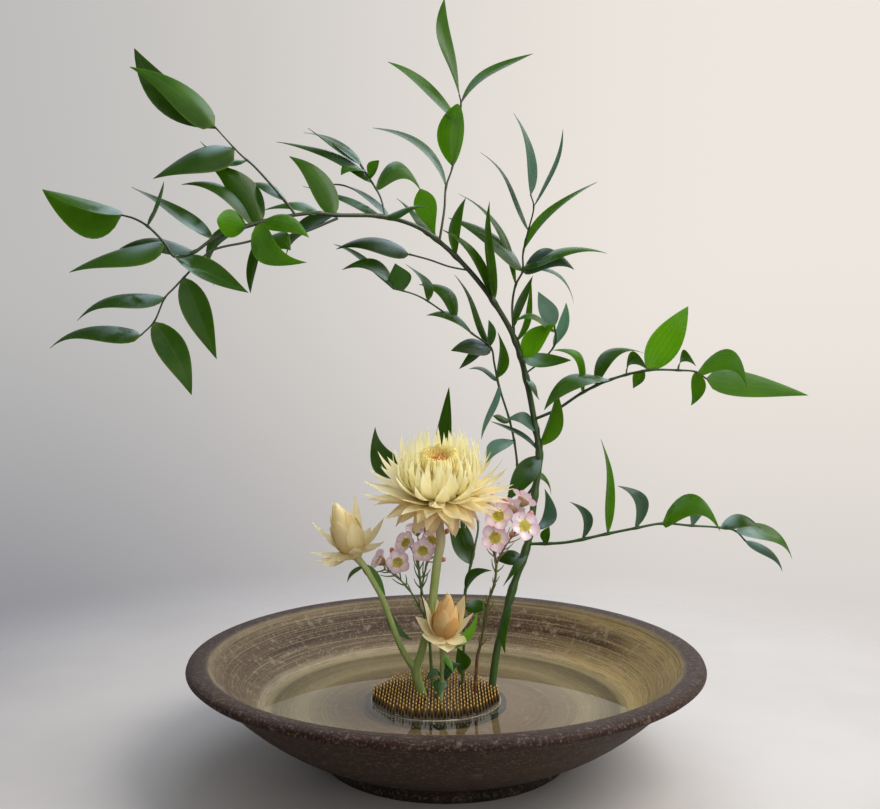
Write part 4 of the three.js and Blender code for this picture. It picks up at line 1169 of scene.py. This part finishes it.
# ---- Strawflower stems ----
# A branch is (points, radii), and a leaf is (base, tip, width, face, bow, tone).
FLOWER_STEMS = {
    "strawflower_stem": {
        "branches": [
            ([(-14, -1, 32.8), (-18, -2, 50), (-15, -2, 59), (-12, -2, 72), (-8, -2, 91), (-7, -2, 100),
              (-5, -2, 116), (-3, -1, 128), (-4, 0.8, 136), (-4, -1.9, 144.7)],
             [3.0, 2.9, 2.4, 2.3, 2.5, 2.6, 2.7, 2.8, 2.8, 2.9]),
            ([(-18, -2, 49), (-25, -3, 60), (-29, -4, 69), (-33, -5, 80), (-38, -6, 94), (-44, -6, 105),
              (-48, -6, 112), (-53, -6, 118)], [2.2, 1.9, 1.8, 1.8, 1.7, 1.7, 1.8, 2.4]),
        ],
        "leaves": [
            ((-50, -6, 114), (-36, -3, 93), 7, 45, 3, 0.4), ((-49, -6, 113), (-58, -12, 104), 4, 40, 2, 0.2),
            ((-35, -5, 85), (-20, 0, 67), 6, 55, -3, 0.1),
        ],
    },
    "front_bud_stem": {
        "branches": [([(-4, -12, 32.5), (-2, -12, 50), (-2, -12, 60), (-2, -12, 70)], [1.9, 1.7, 1.6, 2.0])],
        "leaves": [
            ((-2, -12, 66), (18, -16, 88), 6, 66, -6, 1.0), ((-2, -12, 62), (4, -16, 52), 4, 60, 1, 0.8),
            ((-2, -12, 46), (9, -15, 57), 8, 50, 4, 0.0), ((-2, -12, 49), (-12, -15, 47), 5, 45, 3, 0.1),
            ((-2, -12, 48), (-4, -18, 39.5), 8, 75, 1, 0.15),
        ],
    },
}


def flower_green(name, low, high, dry):
    """Goes from one green to another up the stem, with dry grooves, bleached just under a flower."""
    f = Finish(name)
    place = f.place()
    above = f.part(place, 2)
    grooves = f.noise(f.vector("MULTIPLY", place, (1100, 1100, 60)), 1, 2)
    blotch = f.noise(place, 90, 3, 0.6)
    rise = f.math("ADD", f.stretch(above, 0.03, 0.13), blotch)
    shade = f.over(f.mix(f.times(rise, 0.62), low, high), dry, grooves, 0.5, 0.8, 0.5)
    shade = f.mix(f.times(f.number("tone"), 0.35), shade, dry)
    shade = f.over(shade, "dcc8ae", above, 0.1, 0.14, 0.65)
    return f.solid(shade, f.stretch(blotch, 0.2, 0.8, 0.45, 0.65), (grooves, 0.5, 0.3), {
        "Subsurface Weight": 0.12, "Subsurface Radius": (0.4, 1.0, 0.2), "Subsurface Scale": 0.0015,
    })


def flower_leaf():
    f = Finish("flower_leaf")
    tone = f.number("tone")
    lines = f.lines(14, 0, 1)
    dark = f.over("1f3d22", "2f5238", f.noise(f.place(), 110, 3), 0.3, 0.7)
    shade = f.mix(f.times(lines, 0.2), f.mix(tone, dark, "5c9420"), "8fae66")
    return f.thin(f.skin(shade, 0.5, (lines, 0.3, 0.15)), f.mix(tone, "1d3d1c", "7cc21e"), 0.4)


def flower_stems():
    green = flower_green("flower_stem", "4a5e22", "97aa5c", "bcc48c")
    for name, stem in FLOWER_STEMS.items():
        shape = Shape()
        rng = random.Random(name)
        for points, radii in stem["branches"]:
            radius_at = lambda place: float(np.interp(place, range(len(radii)), radii))
            shape.loft(tube_rings(points, radius_at, 14, 1.5), WOOD, tone=0.3)
        for base, *leaf in stem["leaves"]:
            # A leaf that gives its own base has that point for its route.
            add_leaf(shape, [base, base], (0, *leaf), LEAF, rng)
        shape.make(f"{name}_green", [green, flower_leaf()], name)


# ---- Waxflowers ----
PETAL, CUP, NECTAR, STAMEN = range(4)  # a flower's materials, in their order
BARK, BUD, GREEN = range(3)  # and a sprig's
# A flower is (x, y, z, turn, tilt, branch, place): its middle, the way it faces, and where its
# stalk leaves the sprig. A bud is (x, y, z, branch, place).
SPRIGS = {
    "left": {
        "size": 1.0,
        "stem": GREEN,
        "branches": [
            [(-8, 6, PIN_PLATE), (-9, 7, 50), (-11, 8, 75), (-15, 8, 96), (-17, 11, 113), (-17, 18, 125)],
            [(-11, 8, 75), (-22, 9, 95), (-31, 10, 104), (-38, 11, 108)],
            [(-15, 8, 96), (-12, 10, 110), (-8, 11, 122)],
        ],
        "flowers": [
            (-40, 10, 113, 200, 60, 1, 2.6), (-29, 4, 113, 270, 70, 1, 1.6), (-24, 8, 124, 230, 60, 0, 3.6),
            (-14, 4, 120, 275, 70, 0, 4), (-18, 20, 130, 250, 20, 0, 4.6), (-9, 12, 125, 300, 50, 2, 1.5),
        ],
        "buds": [(0.5, 10, 131, 2, 2), (-2, 9, 114, 2, 1.2), (-33, 12, 119, 1, 2.4), (-12, 6, 133, 0, 4.8)],
    },
    "right": {
        "size": 1.15,
        "stem": BARK,
        "branches": [
            [(17, -1, PIN_PLATE), (18, -1, 46), (19, -1, 58), (22, -1, 70), (23, -2, 80), (26, -2, 93),
             (29, -2, 102), (30, -2, 113), (28, -3, 124), (29, -3, 138)],
            [(30, -2, 113), (35, -4, 124), (41, -5, 133), (44, -5, 140)],
        ],
        "flowers": [
            (31, -8, 143, 260, 70, 0, 8.4), (39, 0, 146, 60, 40, 1, 2.4), (46, -9, 137, 290, 70, 1, 1.6),
            (29, -9, 130, 265, 70, 0, 7.4), (24, -2, 149, 170, 40, 0, 8.8), (46, -2, 151, 30, 40, 1, 2.8),
        ],
        "buds": [(38.7, -7, 132, 1, 1.4), (35, -6, 152, 0, 9), (50, -4, 144, 1, 3)],
    },
}
PETALS = 5
STAMENS = 10
PETAL_REACH = 7.8
CUP_RADIUS = 3.1


def flower_frame(turn, tilt):
    """The axis a flower faces along and two vectors across it."""
    turn, tilt = math.radians(turn), math.radians(tilt)
    axis = vec(math.cos(turn) * math.sin(tilt), math.sin(turn) * math.sin(tilt), math.cos(tilt))
    side = vec(-math.sin(turn), math.cos(turn), 0)
    return axis, side, np.cross(axis, side)


def add_wax_flower(shape, flower, size, rng):
    middle = vec(*flower[:3])
    axis, side, other = flower_frame(*flower[3:5])
    mouth = 1.08 * size

    def add_turned(profile, finish):
        rings = [ring_about(middle + axis * z, side, other, mouth * r, 16) for r, z in profile]
        shape.loft(rings, finish)

    add_turned([(0.9, -3.6), (1.8, -2.6), (2.6, -1.2), (3.1, 0.2), (3.25, 0.8)], CUP)
    add_turned([(3.1, 0.8), (2.9, 1.05), (2.3, 0.6), (1.4, 0.3), (0.7, 0.4), (0.4, 1.2)], NECTAR)
    inner = 0.88 * CUP_RADIUS * mouth
    start = rng.uniform(0, 2 * math.pi)
    for i in range(PETALS):
        ray = ray_at(start + 2 * math.pi * i / PETALS + rng.uniform(-0.08, 0.08), side, other)
        level = np.cross(axis, ray)
        reach = size * PETAL_REACH * rng.uniform(0.93, 1.04)
        rise = rng.uniform(1.0, 2.6)

        def section(t):
            out = inner + (reach - inner) * t
            half = 2.75 * size * (0.6 * (1 - t) + math.sin(math.pi * t**1.25) ** 0.55)
            return middle + ray * out + axis * (0.6 + rise * t**1.6), level, unit(axis - ray * 0.3 * t), half

        ends = (None, middle + ray * reach + axis * (0.6 + rise))
        tone = rng.uniform(0, 1)
        add_sheet(shape, section, 10, 0.985, PETAL_THICKNESS, lambda t: 0.36, PETAL, tone, ends)
    stamen = ((0, 0.16), (0.7, 0.13), (1, 0.3))
    for i in range(STAMENS):
        ray = ray_at(start + 2 * math.pi * (i + 0.5) / STAMENS, side, other)
        foot = middle + ray * 2.9 * mouth + axis * 0.8
        rise = axis * 1.1 - ray * 0.5
        rings = [ring_about(foot + rise * t, side, other, r, 5) for t, r in stamen]
        shape.loft(rings, STAMEN, rng.uniform(0, 1), ends=(None, foot + rise + axis * 0.25))


def add_wax_bud(shape, middle, start, rng):
    """A round bud that points away from where its stalk starts."""
    axis = unit(middle - start)
    side = unit(np.cross(axis, vec(0.2, 1, 0.1)))
    other = np.cross(axis, side)
    profile = [(0.5, -2.4), (1.1, -1.5), (1.5, -0.3), (1.6, 0.6), (1.25, 1.5), (0.65, 1.9)]
    rings = [ring_about(middle + axis * z, side, other, r * rng.uniform(0.97, 1.03), 12) for r, z in profile]
    shape.loft(rings, BUD, tone=0.9)


def add_needle_leaves(shape, points, radius, rng, first):
    """Thin paired leaves up a waxflower stem, from a place on it."""
    place = first
    last = len(points) - 1.1
    while place < last:
        spot = spot_on(points, place)
        ahead = unit(spot_on(points, place + 0.1) - spot)
        turn = rng.uniform(0, math.pi)
        for half in (0, math.pi):
            out = turned_about(unit(np.cross(ahead, vec(0, 1, 0.2))), ahead, turn + half)
            tip = spot + ahead * rng.uniform(4, 9) + out * rng.uniform(2.5, 5.5)
            route = [spot + out * radius * 0.5, (spot + tip) / 2 + out * 0.9, tip]
            rings = tube_rings(route, lambda p: 0.56 - 0.17 * p, 5, 1.5)
            shape.loft(rings, GREEN, rng.uniform(0, 1), ends=(None, tip + ahead * 0.3))
        place += rng.uniform(0.3, 0.5)


def wax_petal():
    f = Finish("wax_petal")
    cloud = f.noise(f.place(), 220, 3)
    shade = f.mix(f.number("tone"), "fbf2f3", "f4dde6")
    shade = f.over(shade, "d98cc4", f.math("ABSOLUTE", f.number("across")), 0.35, 1.0, 0.55)
    shade = f.over(shade, "cf7cb8", f.number("along"), 0.5, 1.0, 0.55)
    shade = f.over(shade, "fbeef2", cloud, 0.4, 0.7, 0.35)
    relief = (f.lines(9, 0.3, 1.0), 0.15, 0.1)
    roughness = f.stretch(cloud, 0.2, 0.8, 0.28, 0.45)
    front = f.skin(shade, roughness, relief, {"Coat Weight": 0.25, "Coat Roughness": 0.2})
    return f.thin(front, "fbdde8", 0.35)


def wax_flower_materials():
    cup = lambda f: f.mix(f.number("along"), "7d8a3a", "c99a8f")
    nectar = lambda f: f.over("ddd62c", "adb41a", f.number("along"), 0.2, 0.9)
    anther = lambda f: f.mix(f.number("tone"), "e9e0a8", "b5a636")
    return [
        wax_petal(),
        speckled("wax_cup", cup, 260, 3, ("a9563f", 0.35, 0.5), 0.4, (0.4, 0.2)),
        speckled("nectar_disc", nectar, 320, 2, ("d9cf4a", 0.4, 0.3), 0.22, (0.2, 0.1)),
        speckled("stamen", anther, 500, 2, ("f4efd8", 0.4, 0.4), 0.5),
    ]


def wax_wood():
    f = Finish("wax_stem")
    place = f.place()
    bark = f.noise(f.vector("MULTIPLY", place, (700, 700, 160)), 1, 3)
    shade = f.over("55301f", "5c5230", f.part(place, 2), 0.06, 0.12)
    return f.solid(f.over(shade, "8a7350", bark, 0.45, 0.7, 0.7), 0.65, (bark, 0.6, 0.3))


def waxflowers():
    flower_materials = wax_flower_materials()
    bud_colour = lambda f: f.ramp(f.number("along"), [(0.0, "8a8c3a"), (0.4, "c9745a"), (1.0, "e0a39a")])
    buds = speckled("wax_bud", bud_colour, 260, 3, ("b5543c", 0.4, 0.4), 0.35, (0.3, 0.15))
    green = flower_green("needle_leaf", "2c4718", "4c6e28", "6c8040")
    woody_materials = [wax_wood(), buds, green]
    for side_name, sprig in SPRIGS.items():
        rng = random.Random(side_name)
        branches = sprig["branches"]
        woody = Shape()
        for number, points in enumerate(branches):
            thick, first_leaf = (0.6, 0.5) if number else (1.0, 2.2)
            last = len(points) - 1
            taper = lambda place: thick * (1.1 - 0.45 * place / last)
            woody.loft(tube_rings(points, taper, 8, 2), sprig["stem"], tone=0.4)
            add_needle_leaves(woody, points, thick, rng, first_leaf)
        for *middle, turn, tilt, branch, place in sprig["flowers"]:
            axis = flower_frame(turn, tilt)[0]
            behind = vec(*middle) - axis * 3.4
            start = spot_on(branches[branch], place)
            bend = start + (behind - start) * 0.6 - axis * 1.5
            woody.loft(tube_rings([start, bend, behind], lambda place: 0.45, 6, 1.5), GREEN, tone=0.3)
        for *middle, branch, place in sprig["buds"]:
            start = spot_on(branches[branch], min(place, len(branches[branch]) - 1))
            foot = vec(*middle) + unit(start - vec(*middle)) * 2.4
            bend = (start + foot) / 2 + vec(0, 0, -0.8)
            woody.loft(tube_rings([start, bend, foot], lambda place: 0.4, 6, 1.5), GREEN)
            add_wax_bud(woody, vec(*middle), start, rng)
        woody.make(f"wax_{side_name}_sprig_wood", woody_materials, f"waxflower_{side_name}_sprig")
        for i, flower in enumerate(sprig["flowers"], 1):
            head = Shape()
            add_wax_flower(head, flower, sprig["size"], rng)
            name = f"wax_{side_name}_flower_{i}"
            head.make(name, flower_materials, f"waxflower_{side_name}_{i}")


# ---- Floor, light and camera ----
FLOOR_REACH = 2.5
ROOM_MIDDLE = (0, 0, 0.2)
EYE = (0, -0.57, 0.222)
EYE_DOWN, EYE_LEFT = 1.35, 0.36  # degrees below level and to the left of straight ahead


def floor():
    """A pale floor that fades away from the arrangement."""
    f = Finish("pale_floor")
    place = f.place()
    shade = f.over("aeaaa8", "b6b2b0", f.noise(place, 7, 4, 0.55), 0.3, 0.7)
    distance = f.node("VectorMath", {0: place}, operation="LENGTH").outputs["Value"]
    clear = f.node("BsdfTransparent").outputs[0]
    material = f.output(f.blend(f.stretch(distance, 0.2, 0.6), f.skin(shade, 0.55), clear))
    mesh = bpy.data.meshes.new("floor")
    corners = [(x * FLOOR_REACH, y * FLOOR_REACH, 0) for x, y in ((-1, -1), (1, -1), (1, 1), (-1, 1))]
    mesh.from_pydata(corners, [], [(0, 1, 2, 3)])
    mesh.materials.append(material)
    ground = bpy.data.objects.new("floor", mesh)
    bpy.context.scene.collection.objects.link(ground)


def area_light(name, place, size, power, shade):
    """A round light, in metres, that looks at the middle of the room."""
    light = bpy.data.lights.new(name, "AREA")
    light.shape = "DISK"
    light.size = size
    light.energy = power
    light.color = shade
    lamp = bpy.data.objects.new(name, light)
    lamp.location = place
    way = Vector(ROOM_MIDDLE) - Vector(place)
    lamp.rotation_euler = way.to_track_quat("-Z", "Y").to_euler()
    bpy.context.scene.collection.objects.link(lamp)


def world():
    """A plain wall that is lit from the right, below a soft bluish sky."""
    scene = bpy.context.scene
    scene.world = bpy.data.worlds.new("pale_room")
    scene.world.use_nodes = True
    f = Nodes(scene.world.node_tree)
    way = f.node("TexCoord").outputs["Generated"]
    rightward = f.stretch(f.part(way, 0), -0.5, 0.3)
    backward = f.stretch(f.part(way, 1), -0.1, 0.5)
    height = f.part(way, 2)
    low_wall = f.mix(rightward, "7a7b85", "d0cbc8")
    high_wall = f.mix(rightward, "bcbbba", "eee7df")
    room = f.mix(backward, "38342f", f.mix(f.stretch(height, -0.4, 0.15), low_wall, high_wall))
    sky = f.mix(f.stretch(height, 0.35, 0.7), room, (0.5, 0.6, 0.72, 1.0))
    seen = f.node("Background", {0: sky, 1: 1.0}).outputs[0]
    lit = f.node("Background", {0: f.mix(backward, "989694", "e0e0e4"), 1: 0.62}).outputs[0]
    diffuse = f.node("LightPath").outputs["Is Diffuse Ray"]
    f.node("OutputWorld", {0: f.blend(diffuse, seen, lit)})


def lights():
    area_light("window_right", (1.05, -0.1, 1.35), 1.3, 32, (1.0, 0.97, 0.92))
    area_light("sky_back", (0.2, 1.0, 1.3), 1.4, 12, (0.82, 0.9, 1.0))
    area_light("room_front", (0.6, -1.5, 0.8), 2.0, 17, (1.0, 0.98, 0.95))


def camera():
    """Level with the flowers, at the height the arrangement is seen from, a little downwards."""
    data = bpy.data.cameras.new("camera")
    data.sensor_width = 36
    data.lens = 39.07
    data.clip_start = 0.01
    eye = bpy.data.objects.new("camera", data)
    eye.location = EYE
    eye.rotation_euler = (math.radians(90 - EYE_DOWN), 0, math.radians(EYE_LEFT))
    bpy.context.scene.collection.objects.link(eye)
    bpy.context.scene.camera = eye


camera()
world()
lights()
floor()
bowl()
water()
pin_holder()
ruscus()
bloom()
for bud_name, bud_facts in BUDS.items():
    bud(bud_name, **bud_facts)
flower_stems()
waxflowers()
bpy.context.scene.view_settings.view_transform = "Standard"
